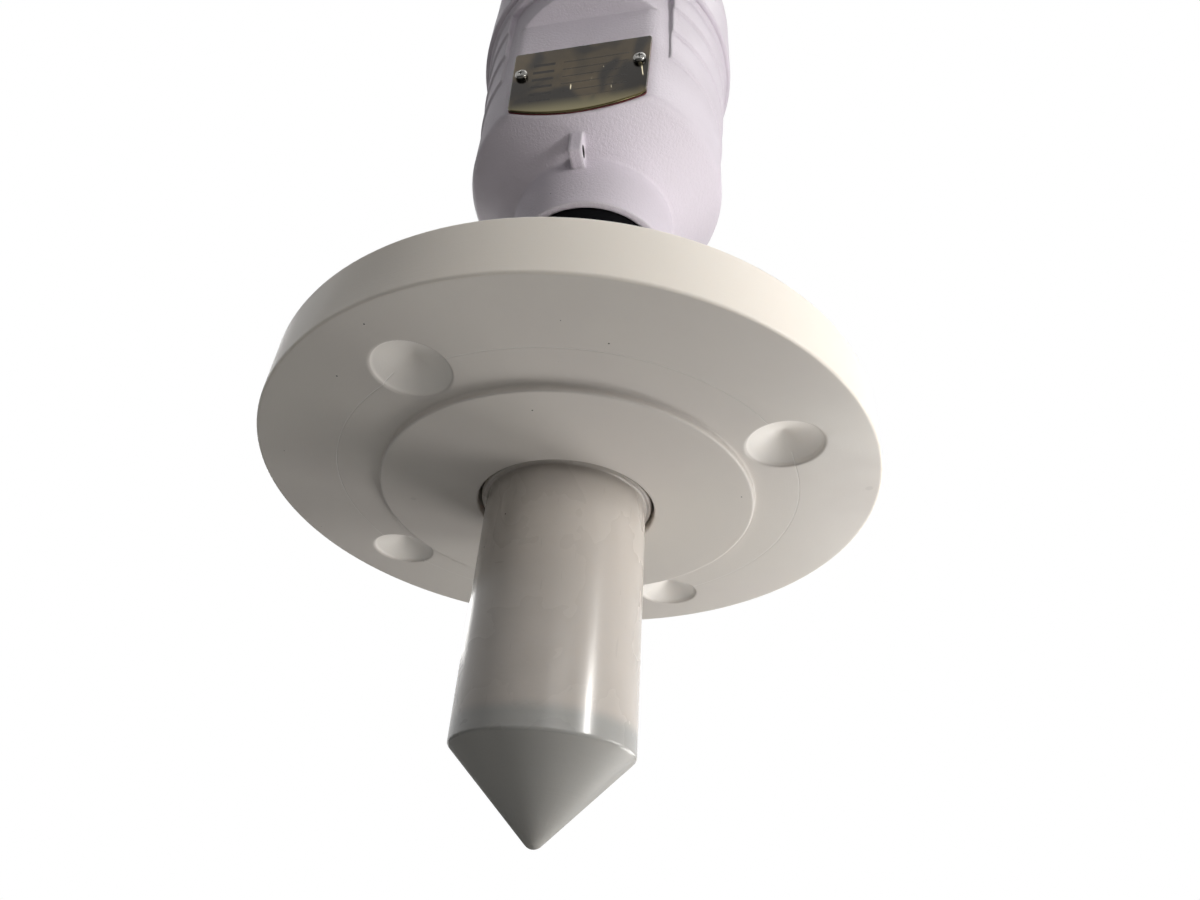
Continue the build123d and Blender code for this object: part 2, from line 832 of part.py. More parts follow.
def electronics_cup():
    """Plastic cup on the housing's posts, with a ledge for the board."""
    outer_r = cup_r
    inner_r = outer_r - cup_wall
    ledge = cup_base + cup_ledge_h
    body = turned([
        (0, cup_base), (outer_r, cup_base), (outer_r, carrier_base), (inner_r, carrier_base),
        (inner_r, ledge), (inner_r - cup_ledge_w, ledge), (inner_r - cup_ledge_w, ledge - cup_ledge_w),
        (inner_r, ledge - 2 * cup_ledge_w), (inner_r, cup_base + cup_wall), (0, cup_base + cup_wall),
    ])
    hole = tube(0, cup_screw_d + 2 * thread_gap, cup_base, cup_base + cup_wall)
    for place in post_places():
        body -= place * hole
    return body


def cup_screws():
    """Screws that hold the electronics cup on the posts."""
    screw = pan_screw(cup_screw_head_d, cup_screw_head_h, cup_screw_d, cup_screw_len)
    return Compound([Pos(0, 0, cup_base + cup_wall) * place * screw for place in post_places()])


def main_board():
    """Round circuit board with its larger chips."""
    base = cup_base + cup_ledge_h
    board = tube(0, 2 * (cup_r - cup_wall - seat_gap), base, base + main_board_t)
    for width, depth, x, y in chip_sizes:
        board += Pos(x, y, base + main_board_t) * Box(width, depth, chip_h, align=on_base)
    return board


def terminal_carrier():
    """Lid of the cup with the terminal block and the column that the display plugs onto."""
    floor = carrier_base + carrier_t
    body = tube(0, 2 * cup_r, carrier_base, floor)
    body += tube(0, carrier_column_d, floor, display_base)
    block_len = terminal_count * terminal_pitch + terminal_hole_d / 2
    body += Pos(0, terminal_block_offset, floor) * Box(
        block_len, terminal_block_depth, terminal_block_h, align=on_base
    )
    wire_hole = Cylinder(terminal_hole_d / 2, terminal_block_depth / 2, align=under_top)
    screw_hole = Cylinder(terminal_screw_d / 2, terminal_screw_h, align=under_top)
    rear_face = terminal_block_offset + terminal_block_depth / 2
    for x in terminal_xs():
        body -= rearward(x, floor + terminal_hole_height, rear_face) * wire_hole
        body -= Pos(x, terminal_block_offset, floor + terminal_block_h) * screw_hole
    for x in contact_xs():
        body -= Pos(x, 0, display_base) * Cylinder(contact_d / 2, contact_h, align=under_top)
    return body


def terminal_xs():
    """Places of the terminals along the block."""
    return [(number - (terminal_count - 1) / 2) * terminal_pitch for number in range(terminal_count)]


def contact_xs():
    """Places of the contact pins across the column."""
    return [(number - (contact_count - 1) / 2) * contact_pitch for number in range(contact_count)]


def terminal_screws():
    """Slotted screws of the terminals."""
    screw = Cylinder(terminal_screw_d / 2 - thread_gap, terminal_screw_h - seat_gap, align=under_top)
    screw -= Box(
        terminal_screw_d, terminal_screw_d * slot_width_share, terminal_screw_h * slot_depth_share,
        align=under_top,
    )
    top = carrier_base + carrier_t + terminal_block_h - seat_gap / 2
    return Compound([Pos(x, terminal_block_offset, top) * screw for x in terminal_xs()])


def contact_pins():
    """Gold pins between the carrier's column and the display module."""
    pin = Cylinder(contact_d / 2 - ring_gap, contact_h + display_back_t / 2, align=on_base)
    return Compound([Pos(x, 0, display_base - contact_h) * pin for x in contact_xs()])


# Display and keypad module

def key_xs():
    """Places of the keys in their row."""
    return [(number - (len(key_names) - 1) / 2) * key_pitch for number in range(len(key_names))]


def display_shell():
    """Round shell of the module with the screen window and the key holes."""
    outer_r = display_r
    inner_r = outer_r - display_wall
    wall_foot = display_base + display_back_t
    face_foot = display_top - display_wall
    body = turned(
        [
            (0, face_foot), (inner_r, face_foot), (inner_r, wall_foot), (outer_r, wall_foot),
            (outer_r, display_top), (0, display_top),
        ],
        {4: display_edge_round},
    )
    window = Box(screen_w, screen_depth, 2 * display_wall)
    body -= Pos(0, screen_offset, display_top) * window
    hole = tube(0, key_d + 2 * seat_gap, face_foot, display_top)
    for x in key_xs():
        body -= Pos(x, key_row_offset, 0) * hole
    return body


def display_back():
    """Back plate of the module with the socket for the contact pins and a rim that carries the board."""
    board_foot = display_base + display_board_lift
    rim_r = display_r - display_wall - running_gap
    back_top = display_base + display_back_t
    body = turned([
        (0, display_base), (display_r, display_base), (display_r, back_top), (rim_r, back_top),
        (rim_r, board_foot), (rim_r - display_wall, board_foot), (rim_r - display_wall, back_top),
        (0, back_top),
    ])
    for x in contact_xs():
        body -= Pos(x, 0, display_base) * Cylinder(contact_d / 2, display_back_t, align=on_base)
    return body


def display_board():
    """Round board under the screen and the keys."""
    base = display_base + display_board_lift
    return tube(0, 2 * (display_r - display_wall - seat_gap), base, base + display_board_t)


def display_screen():
    """Glass screen that fills the shell's window down to the board."""
    base = display_base + display_board_lift + display_board_t
    glass = Box(
        screen_w - 2 * running_gap, screen_depth - 2 * running_gap, display_top - base - running_gap,
        align=on_base,
    )
    return Pos(0, screen_offset, base) * glass


def key(x):
    """One key: cap above the shell's face, a flange below it and a stem that stops short of the board."""
    flange_top = display_top - display_wall - seat_gap / 2
    flange_foot = flange_top - key_flange_t
    board_top = display_base + display_board_lift + display_board_t
    stem_foot = board_top + key_travel + seat_gap
    cap = turned(
        [
            (0, stem_foot), (key_stem_d / 2, stem_foot), (key_stem_d / 2, flange_foot),
            (key_flange_d / 2, flange_foot), (key_flange_d / 2, flange_top), (key_d / 2, flange_top),
            (key_d / 2, display_top + key_stand), (0, display_top + key_stand),
        ],
        {6: key_edge_round},
    )
    return Pos(x, key_row_offset, 0) * cap


# Cover

def cover():
    """Cast screw cover with the window opening, the seats for seal and window, and finger grips."""
    bore_r = collar_r + running_gap
    body = turned(
        [
            (bore_r, cover_foot), (cover_r, cover_foot), (cover_r, cover_top), (window_opening_r, cover_top),
            (window_opening_r, window_seat), (window_r + seat_gap, window_seat),
            (window_r + seat_gap, window_ring_top()), (window_thread_r, window_ring_top()),
            (window_thread_r, cover_shoulder), (bore_r, cover_shoulder),
        ],
        {1: cover_foot_round, 2: cover_edge_round},
    )
    grip_r = grip_d / 2
    cutter = tube(0, grip_d, cover_top - grip_height, cover_top + overrun)
    cutter += Pos(0, 0, cover_top - grip_height) * Sphere(grip_r)
    for place in PolarLocations(cover_r + grip_r - grip_depth, grip_count):
        body -= place * cutter
    return body


def window_ring_top():
    """Height of the window ring's upper face, which the glass rests on."""
    return window_seat - window_gasket_t - window_t


def window_gasket():
    """Flat gasket between the cover's lip and the glass."""
    return tube(2 * window_opening_r, 2 * window_r, window_seat - window_gasket_t, window_seat)


def cover_window():
    """Round window glass."""
    return tube(0, 2 * window_r, window_ring_top(), window_ring_top() + window_t)


def window_ring():
    """Threaded ring that presses the glass into the cover, with two key slots."""
    outer_d = 2 * (window_thread_r - thread_gap)
    top = window_ring_top()
    ring = tube(outer_d - 2 * window_ring_wall, outer_d, top - window_ring_t, top)
    slot = Box(window_ring_wall, window_ring_slot_w, window_ring_slot_depth, align=on_base)
    for place in PolarLocations(outer_d / 2 - window_ring_wall, 2):
        ring -= Pos(0, 0, top - window_ring_t) * place * slot
    return ring


def cover_seal():
    """Seal ring between the collar's end and the cover."""
    return Pos(0, 0, (collar_top + cover_shoulder) / 2) * Torus(cover_seal_r, cover_seal_cord_d / 2)


write("process_flange", process_flange())
write("antenna_shell", antenna_shell())
write("antenna_seal", antenna_seal())
write("feed_horn", feed_horn())
write("feed_plug", feed_plug())
write("waveguide", waveguide())
write("process_neck", process_neck())
write("swivel_sleeve", swivel_sleeve())
write("sleeve_seals", sleeve_seals())
write("swivel_nut", swivel_nut())

gland_port, plug_port = port_places()
write_housed("housing_body", housing_body())
write_housed("swivel_lock_screw", swivel_lock_screw())
write_housed("nameplate", nameplate())
write_housed("nameplate_tape", nameplate_tape())
write_housed("nameplate_screws", nameplate_screws())
write_housed("ground_clamp", ground_clamp())
write_housed("ground_screw", ground_screw())
write_housed("gland_washer", gland_port * port_washer(gland_washer_d))
write_housed("gland_body", gland_port * gland_body())
write_housed("gland_insert", gland_port * gland_insert())
write_housed("gland_cap_nut", gland_port * gland_cap_nut())
write_housed("plug_washer", plug_port * port_washer(gland_washer_d))
write_housed("blind_plug", plug_port * blind_plug())
write_housed("radio_module", radio_module())
write_housed("electronics_cup", electronics_cup())
write_housed("cup_screws", cup_screws())
write_housed("main_board", main_board())
write_housed("terminal_carrier", terminal_carrier())
write_housed("terminal_screws", terminal_screws())
write_housed("contact_pins", contact_pins())
write_housed("display_shell", display_shell())
write_housed("display_back", display_back())
write_housed("display_board", display_board())
write_housed("display_screen", display_screen())
for key_name, key_x in zip(key_names, key_xs()):
    write_housed(key_name, key(key_x))

write_housed("cover_seal", cover_seal())
write_housed("cover", cover())
write_housed("window_gasket", window_gasket())
write_housed("cover_window", cover_window())
write_housed("window_ring", window_ring())
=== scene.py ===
import json
import logging
from dataclasses import dataclass, field
from enum import Enum
from math import cos, pi, radians, sin
from typing import Any

import bpy
import numpy as np
from mathutils import Matrix, Vector


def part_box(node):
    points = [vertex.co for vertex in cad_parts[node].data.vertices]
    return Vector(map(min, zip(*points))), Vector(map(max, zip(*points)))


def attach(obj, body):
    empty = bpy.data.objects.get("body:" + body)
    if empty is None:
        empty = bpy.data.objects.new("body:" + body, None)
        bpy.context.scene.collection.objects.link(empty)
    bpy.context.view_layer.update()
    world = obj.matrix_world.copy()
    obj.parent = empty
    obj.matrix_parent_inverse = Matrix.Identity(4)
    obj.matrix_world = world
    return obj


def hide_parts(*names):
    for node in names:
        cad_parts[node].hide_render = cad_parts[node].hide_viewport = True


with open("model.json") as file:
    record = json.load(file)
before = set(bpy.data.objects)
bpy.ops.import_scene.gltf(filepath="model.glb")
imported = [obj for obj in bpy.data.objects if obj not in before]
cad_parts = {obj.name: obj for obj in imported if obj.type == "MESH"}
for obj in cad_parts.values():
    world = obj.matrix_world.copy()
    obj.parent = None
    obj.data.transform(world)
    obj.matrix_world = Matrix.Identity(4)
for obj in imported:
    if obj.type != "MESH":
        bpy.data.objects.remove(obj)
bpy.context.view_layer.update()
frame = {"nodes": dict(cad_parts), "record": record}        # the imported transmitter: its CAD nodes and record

LOG = logging.getLogger("transmitter")
MILLIMETRE = 0.001
BOLT_CIRCLE = 62.5                # radius of the flange's bolt circle, in millimetres
FRONT_TURN = radians(14.3)        # the housing's flat front faces this far to the left of -Y

Socket = bpy.types.NodeSocket
Colour = tuple[float, float, float]


class Body(Enum):
    """Bodies of the frame that new pieces ride on."""

    PROCESS = "process_part"
    HOUSING = "housing"


class Combine(Enum):
    """Ways to join two values in a node tree."""

    ADD = "ADD"
    SUBTRACT = "SUBTRACT"
    MULTIPLY = "MULTIPLY"
    LESS = "LESS_THAN"
    MORE = "GREATER_THAN"
    LARGER = "MAXIMUM"
    DIVIDE = "DIVIDE"
    ANGLE = "ARCTAN2"
    PING = "PINGPONG"


class Tree:
    """Adds nodes to one node tree and joins them."""

    def __init__(self, tree: bpy.types.NodeTree) -> None:
        """Keeps the tree that the nodes go into."""
        self.tree = tree

    def node(self, kind: str, values: dict[str, Any] | None = None, **settings: Any) -> bpy.types.Node:
        """Adds a node.

        Args:
            kind: The node's type name.
            values: Socket name to a constant or to the socket that feeds it.
            settings: Properties of the node itself.

        Returns:
            The new node.
        """
        made = self.tree.nodes.new(kind)
        for name, value in settings.items():
            setattr(made, name, value)
        for name, value in (values or {}).items():
            self.feed(made.inputs[name], value)
        return made

    def feed(self, target: Socket, value: Any) -> None:
        """Joins a socket to the target, or sets the target's own constant."""
        if isinstance(value, bpy.types.NodeSocket):
            self.tree.links.new(value, target)
        else:
            target.default_value = value

    def combine(self, how: Combine, first: Any, second: Any) -> Socket:
        """Joins two values with one arithmetic step.

        Args:
            how: The step.
            first: Socket or number.
            second: Socket or number.

        Returns:
            The result's socket.
        """
        made = self.tree.nodes.new("ShaderNodeMath")
        made.operation = how.value
        self.feed(made.inputs[0], first)
        self.feed(made.inputs[1], second)
        return made.outputs[0]

    def absolute(self, value: Socket) -> Socket:
        """Size of a value without its sign."""
        made = self.tree.nodes.new("ShaderNodeMath")
        made.operation = "ABSOLUTE"
        self.feed(made.inputs[0], value)
        return made.outputs[0]

    def band(self, value: Socket, low: float, high: float,
             from_low: float = 0.0, to_high: float = 1.0) -> Socket:
        """Smooth step of a value.

        Args:
            value: The value to step on.
            low: Where the step starts.
            high: Where the step ends.
            from_low: Result at low.
            to_high: Result at high.

        Returns:
            Socket of the stepped value.
        """
        made = self.node("ShaderNodeMapRange", {
            "Value": value, "From Min": low, "From Max": high, "To Min": from_low, "To Max": to_high,
        }, interpolation_type="SMOOTHSTEP")
        return made.outputs["Result"]

    def blend(self, mask: Any, first: Any, second: Any) -> Socket:
        """Colour between two colours by a mask.

        Args:
            mask: 0 gives the first colour, 1 the second.
            first: Socket or red, green and blue.
            second: Socket or red, green and blue.

        Returns:
            Socket of the colour.
        """
        made = self.tree.nodes.new("ShaderNodeMix")
        made.data_type = "RGBA"
        self.feed(made.inputs["Factor"], mask)
        colours = [s for s in made.inputs if s.type == "RGBA"]
        for socket, value in zip(colours, (first, second)):
            self.feed(socket, value if isinstance(value, bpy.types.NodeSocket) else (*value, 1.0))
        return next(s for s in made.outputs if s.type == "RGBA")

    def parts(self, vector: Socket) -> tuple[Socket, Socket, Socket]:
        """X, Y and Z of a vector."""
        made = self.node("ShaderNodeSeparateXYZ", {"Vector": vector})
        return made.outputs["X"], made.outputs["Y"], made.outputs["Z"]

    def radius(self, vector: Socket) -> Socket:
        """Distance of a place from the transmitter's axis, the length of its X and Y."""
        flat = self.node("ShaderNodeVectorMath", operation="MULTIPLY")
        self.feed(flat.inputs[0], vector)
        flat.inputs[1].default_value = (1.0, 1.0, 0.0)
        size = self.node("ShaderNodeVectorMath", operation="LENGTH")
        self.feed(size.inputs[0], flat.outputs[0])
        return size.outputs["Value"]

    def times(self, first: Any, second: Any) -> Socket:
        """Product of two values."""
        return self.combine(Combine.MULTIPLY, first, second)

    def within(self, value: Socket, low: float, high: float) -> Socket:
        """Mask that is 1 between low and high."""
        return self.times(self.combine(Combine.MORE, value, low), self.combine(Combine.LESS, value, high))

    def bump(self, height: Socket, distance: float, normal: Socket) -> Socket:
        """Normal bent by a height, whose full step stands this far out."""
        return self.node("ShaderNodeBump", {
            "Height": height, "Distance": distance, "Strength": 1.0, "Normal": normal}).outputs["Normal"]


class Effects:
    """Node groups that more than one finish uses, built once and shared."""

    def __init__(self) -> None:
        """Builds every group."""
        self.grain = self._grain()
        self.mottle = self._mottle()
        self.specks = self._specks()
        self.scratches = self._scratches()
        self.turning = self._turning()
        self.soft_edge = self._soft_edge()

    @staticmethod
    def _open(name: str, inputs: dict[str, tuple[str, float]],
              outputs: dict[str, str]) -> tuple[Any, Tree, Any, Any]:
        """Starts a node group.

        Args:
            name: The group's name.
            inputs: Input name to its socket type and default.
            outputs: Output name to its socket type.

        Returns:
            The group, its tree helper, its input node and its output node.
        """
        group = bpy.data.node_groups.new(name, "ShaderNodeTree")
        group.interface.new_socket("Place", in_out="INPUT", socket_type="NodeSocketVector")
        for label, (kind, default) in inputs.items():
            made = group.interface.new_socket(label, in_out="INPUT", socket_type=kind)
            made.default_value = default
        for label, kind in outputs.items():
            group.interface.new_socket(label, in_out="OUTPUT", socket_type=kind)
        return group, Tree(group), group.nodes.new("NodeGroupInput"), group.nodes.new("NodeGroupOutput")

    def _grain(self) -> bpy.types.NodeTree:
        """Fine pebbled height, as powder coat has over a casting: two noises, one three times finer."""
        group, tree, start, end = self._open(
            "grain", {"Scale": ("NodeSocketFloat", 900.0)}, {"Height": "NodeSocketFloat"})
        finer = tree.times(start.outputs["Scale"], 2.7)
        coarse = tree.node("ShaderNodeTexNoise", {
            "Vector": start.outputs["Place"], "Scale": start.outputs["Scale"], "Detail": 2.0,
            "Roughness": 0.55})
        fine = tree.node("ShaderNodeTexNoise", {
            "Vector": start.outputs["Place"], "Scale": finer, "Detail": 1.0, "Roughness": 0.6})
        half = tree.times(fine.outputs["Fac"], 0.45)
        tree.feed(end.inputs["Height"], tree.combine(Combine.ADD, coarse.outputs["Fac"], half))
        return group

    def _mottle(self) -> bpy.types.NodeTree:
        """Slow uneven tone between 0 and 1, from one broad noise bent by itself."""
        group, tree, start, end = self._open(
            "mottle", {"Scale": ("NodeSocketFloat", 30.0)}, {"Mask": "NodeSocketFloat"})
        noise = tree.node("ShaderNodeTexNoise", {
            "Vector": start.outputs["Place"], "Scale": start.outputs["Scale"], "Detail": 4.0,
            "Roughness": 0.55, "Distortion": 0.6})
        tree.feed(end.inputs["Mask"], tree.band(noise.outputs["Fac"], 0.32, 0.68))
        return group

    def _specks(self) -> bpy.types.NodeTree:
        """Sparse round specks: cells whose middle lies near the surface, some of them left out at random."""
        group, tree, start, end = self._open(
            "specks", {"Scale": ("NodeSocketFloat", 200.0), "Share": ("NodeSocketFloat", 0.3)},
            {"Mask": "NodeSocketFloat"})
        cells = tree.node("ShaderNodeTexVoronoi", {
            "Vector": start.outputs["Place"], "Scale": start.outputs["Scale"]}, feature="F1")
        near = tree.band(cells.outputs["Distance"], 0.03, 0.05, 1.0, 0.0)
        chance, _, _ = tree.parts(cells.outputs["Color"])
        kept = tree.combine(Combine.LESS, chance, start.outputs["Share"])
        tree.feed(end.inputs["Mask"], tree.times(near, kept))
        return group

    def _scratches(self) -> bpy.types.NodeTree:
        """Short hairline scratches: noise squeezed across its run, kept only near its highest values."""
        group, tree, start, end = self._open(
            "scratches", {"Scale": ("NodeSocketFloat", 100.0)}, {"Mask": "NodeSocketFloat"})
        total: Socket | None = None
        for turn, share in ((0.6, 1.0), (-0.9, 0.8)):
            mapped = tree.node("ShaderNodeMapping", {
                "Vector": start.outputs["Place"], "Rotation": (turn, turn * 0.7, turn * 1.9),
                "Scale": (9.0, 0.35, 0.9)})
            streak = tree.node("ShaderNodeTexNoise", {
                "Vector": mapped.outputs["Vector"], "Scale": start.outputs["Scale"], "Detail": 1.0})
            line = tree.band(streak.outputs["Fac"], 0.735, 0.76, 0.0, share)
            total = line if total is None else tree.combine(Combine.LARGER, total, line)
        tree.feed(end.inputs["Mask"], total)
        return group

    def _turning(self) -> bpy.types.NodeTree:
        """Fine ring marks of a lathe: noise that changes only with radius and height."""
        group, tree, start, end = self._open(
            "turning", {"Marks per metre": ("NodeSocketFloat", 4000.0)}, {"Height": "NodeSocketFloat"})
        _, _, height = tree.parts(start.outputs["Place"])
        path = tree.combine(Combine.ADD, tree.radius(start.outputs["Place"]), height)
        scaled = tree.times(path, start.outputs["Marks per metre"])
        noise = tree.node(
            "ShaderNodeTexNoise", {"W": scaled, "Scale": 1.0, "Detail": 3.0}, noise_dimensions="1D")
        tree.feed(end.inputs["Height"], noise.outputs["Fac"])
        return group

    def _soft_edge(self) -> bpy.types.NodeTree:
        """Rounded-edge normal, and a mask where it leaves the true normal: one minus their dot product."""
        group, tree, start, end = self._open(
            "soft edge", {"Radius": ("NodeSocketFloat", 0.0006)},
            {"Normal": "NodeSocketVector", "Mask": "NodeSocketFloat"})
        rounded = tree.node("ShaderNodeBevel", {"Radius": start.outputs["Radius"]}, samples=6)
        true = tree.node("ShaderNodeNewGeometry")
        same = tree.node("ShaderNodeVectorMath", operation="DOT_PRODUCT")
        tree.feed(same.inputs[0], rounded.outputs["Normal"])
        tree.feed(same.inputs[1], true.outputs["Normal"])
        tree.feed(end.inputs["Normal"], rounded.outputs["Normal"])
        tree.feed(end.inputs["Mask"], tree.band(same.outputs["Value"], 0.80, 0.995, 1.0, 0.0))
        return group


@dataclass(frozen=True)
class Finish:
    """A surface finish: base colours, gloss and the strength of each shared effect."""

    name: str
    colour: Colour
    second_colour: Colour
    roughness: float
    metallic: float = 0.0
    coat: float = 0.0
    gloss: float = 0.5
    subsurface: float = 0.0
    subsurface_reach: float = 0.004
    grain_scale: float = 900.0
    grain_depth: float = 0.0
    mottle_scale: float = 30.0
    speck_share: float = 0.0
    speck_colour: Colour = (0.05, 0.045, 0.04)
    scratch_scale: float = 60.0
    scratch_strength: float = 0.0
    turning_marks: float = 0.0
    turning_depth: float = 0.0
    edge_radius: float = 0.0004
    # paler colour painted on rounded edges: a painted highlight where edges catch the light
    edge_highlight_colour: Colour | None = None

    def build(self, effects: Effects) -> bpy.types.Material:
        """Builds the material.

        Args:
            effects: The shared node groups.

        Returns:
            The finished material.
        """
        material = bpy.data.materials.new(self.name)
        material.use_nodes = True
        material.node_tree.nodes.clear()
        tree = Tree(material.node_tree)
        place = tree.node("ShaderNodeTexCoord").outputs["Object"]
        shader = tree.node("ShaderNodeBsdfPrincipled", {
            "Metallic": self.metallic, "Coat Weight": self.coat, "Coat Roughness": 0.12,
            "Specular IOR Level": self.gloss,
            "Subsurface Weight": self.subsurface, "Subsurface Scale": self.subsurface_reach,
            "Subsurface Radius": (1.0, 0.9, 0.8),
        })
        output = tree.node("ShaderNodeOutputMaterial", {"Surface": shader.outputs["BSDF"]})
        output.location = (900.0, 0.0)
        colour, rough = self.surface(tree, effects, place)
        tree.feed(shader.inputs["Base Color"], colour)
        tree.feed(shader.inputs["Roughness"], rough)
        tree.feed(shader.inputs["Normal"], self.relief(tree, effects, place))
        self.extra(tree, effects, place, shader)
        return material

    def surface(self, tree: Tree, effects: Effects, place: Socket) -> tuple[Socket, Socket]:
        """Colour and roughness with mottle, specks, scratches and a paler painted highlight on rounded edges.

        Args:
            tree: The material's tree.
            effects: The shared node groups.
            place: Object coordinates.

        Returns:
            Sockets of the base colour and of the roughness.
        """
        mottle = self.group(tree, effects.mottle, place, {"Scale": self.mottle_scale}).outputs["Mask"]
        colour = tree.blend(mottle, self.colour, self.second_colour)
        rough = tree.band(mottle, 0.0, 1.0, self.roughness * 0.88, min(1.0, self.roughness * 1.14))
        if self.edge_highlight_colour is not None:
            # painted highlight: the edge colour is laid over half of the rounded-edge mask
            edge = self.group(tree, effects.soft_edge, place, {"Radius": self.edge_radius}).outputs["Mask"]
            colour = tree.blend(tree.times(edge, 0.5), colour, self.edge_highlight_colour)
        if self.speck_share > 0.0:
            specks = self.group(tree, effects.specks, place, {"Share": self.speck_share}).outputs["Mask"]
            colour = tree.blend(specks, colour, self.speck_colour)
        if self.scratch_strength > 0.0:
            marks = self.group(tree, effects.scratches, place, {"Scale": self.scratch_scale}).outputs["Mask"]
            faint = tree.times(marks, self.scratch_strength)
            colour = tree.blend(faint, colour, tuple(0.6 * part for part in self.colour))
            rough = tree.combine(Combine.ADD, rough, tree.times(faint, 0.25))
        return colour, rough

    def relief(self, tree: Tree, effects: Effects, place: Socket) -> Socket:
        """Normal from the rounded edges, the grain and the turning marks.

        Args:
            tree: The material's tree.
            effects: The shared node groups.
            place: Object coordinates.

        Returns:
            Socket of the normal.
        """
        normal = self.group(tree, effects.soft_edge, place, {"Radius": self.edge_radius}).outputs["Normal"]
        if self.grain_depth > 0.0:
            height = self.group(tree, effects.grain, place, {"Scale": self.grain_scale}).outputs["Height"]
            normal = tree.bump(height, self.grain_depth, normal)
        if self.turning_depth > 0.0:
            height = self.group(
                tree, effects.turning, place, {"Marks per metre": self.turning_marks}).outputs["Height"]
            normal = tree.bump(height, self.turning_depth, normal)
        return normal

    def extra(self, tree: Tree, effects: Effects, place: Socket, shader: bpy.types.Node) -> None:
        """Whatever one finish adds to the common build; nothing here."""

    @staticmethod
    def group(tree: Tree, shared: bpy.types.NodeTree, place: Socket,
              values: dict[str, float]) -> bpy.types.Node:
        """Places a shared group in the tree.

        Args:
            tree: The material's tree.
            shared: The group.
            place: Object coordinates.
            values: Input name to its value.

        Returns:
            The group's node.
        """
        made = tree.node("ShaderNodeGroup", node_tree=shared)
        tree.feed(made.inputs["Place"], place)
        for name, value in values.items():
            tree.feed(made.inputs[name], value)
        return made


@dataclass(frozen=True)
class FlangeFinish(Finish):
    """Machined fluoroplastic with a scribed bolt circle on its underside."""

    circle_radius: float = BOLT_CIRCLE * MILLIMETRE
    circle_half_width: float = 0.00016
    underside_height: float = 0.004
    scribed_colour: Colour = (0.95, 0.94, 0.91)
    # creamier rim colour: painted light, a glow of light through the translucent rim
    rim_light_colour: Colour = (0.92, 0.855, 0.77)
    # paler colour of the spot marks: painted light, as if more light reached into their hollows
    mark_light_colour: Colour = (0.95, 0.905, 0.855)
    mark_span: tuple[float, float] = (0.0520, 0.0730)
    mark_heights: tuple[float, float] = (0.0021, 0.0026)
    mark_ceiling: float = 0.0075
    rim_radius: float = 0.0817
    rim_blend: float = 0.0006
    rim_light_strength: float = 0.8
    scribed_strength: float = 0.35
    scribed_depth: float = 0.00008
    smudge_scale: float = 42.0
    smudge_share: float = 0.22
    smudge_strength: float = 0.22
    smudge_colour: Colour = (0.42, 0.39, 0.36)

    def surface(self, tree: Tree, effects: Effects, place: Socket) -> tuple[Socket, Socket]:
        """Adds the rim painted creamier as a painted glow of light through its translucent edge, the marks painted
        paler as painted light in their hollows, smudges and the scribed line to the common colour.
        """
        colour, rough = super().surface(tree, effects, place)
        rim = tree.band(tree.radius(place), self.rim_radius, self.rim_radius + self.rim_blend)
        # painted light: the outer rim is blended towards the rim light colour
        colour = tree.blend(tree.times(rim, self.rim_light_strength), colour, self.rim_light_colour)
        # painted light: the marks' hollows are painted paler
        colour = tree.blend(self.marked(tree, place), colour, self.mark_light_colour)
        smudge = self.group(tree, effects.specks, place, {
            "Scale": self.smudge_scale, "Share": self.smudge_share}).outputs["Mask"]
        colour = tree.blend(tree.times(smudge, self.smudge_strength), colour, self.smudge_colour)
        faint = tree.times(self.scribed(tree, place), self.scribed_strength)
        return tree.blend(faint, colour, self.scribed_colour), rough

    def marked(self, tree: Tree, place: Socket) -> Socket:
        """Mask of the spot marks: above the underside and in the ring between the mark span's radii."""
        _, _, height = tree.parts(place)
        ring = tree.within(tree.radius(place), *self.mark_span)
        low = tree.times(ring, tree.combine(Combine.LESS, height, self.mark_ceiling))
        return tree.times(low, tree.band(height, *self.mark_heights))

    def scribed(self, tree: Tree, place: Socket) -> Socket:
        """Mask of the line where the radius is the bolt circle's and the height is the underside's."""
        off = tree.absolute(tree.combine(Combine.SUBTRACT, tree.radius(place), self.circle_radius))
        line = tree.band(off, self.circle_half_width * 0.4, self.circle_half_width, 1.0, 0.0)
        _, _, height = tree.parts(place)
        return tree.times(line, tree.combine(Combine.LESS, height, self.underside_height))

    def relief(self, tree: Tree, effects: Effects, place: Socket) -> Socket:
        """Sinks the scribed line into the common relief."""
        normal = super().relief(tree, effects, place)
        line = tree.combine(Combine.SUBTRACT, 1.0, self.scribed(tree, place))
        return tree.bump(line, self.scribed_depth, normal)


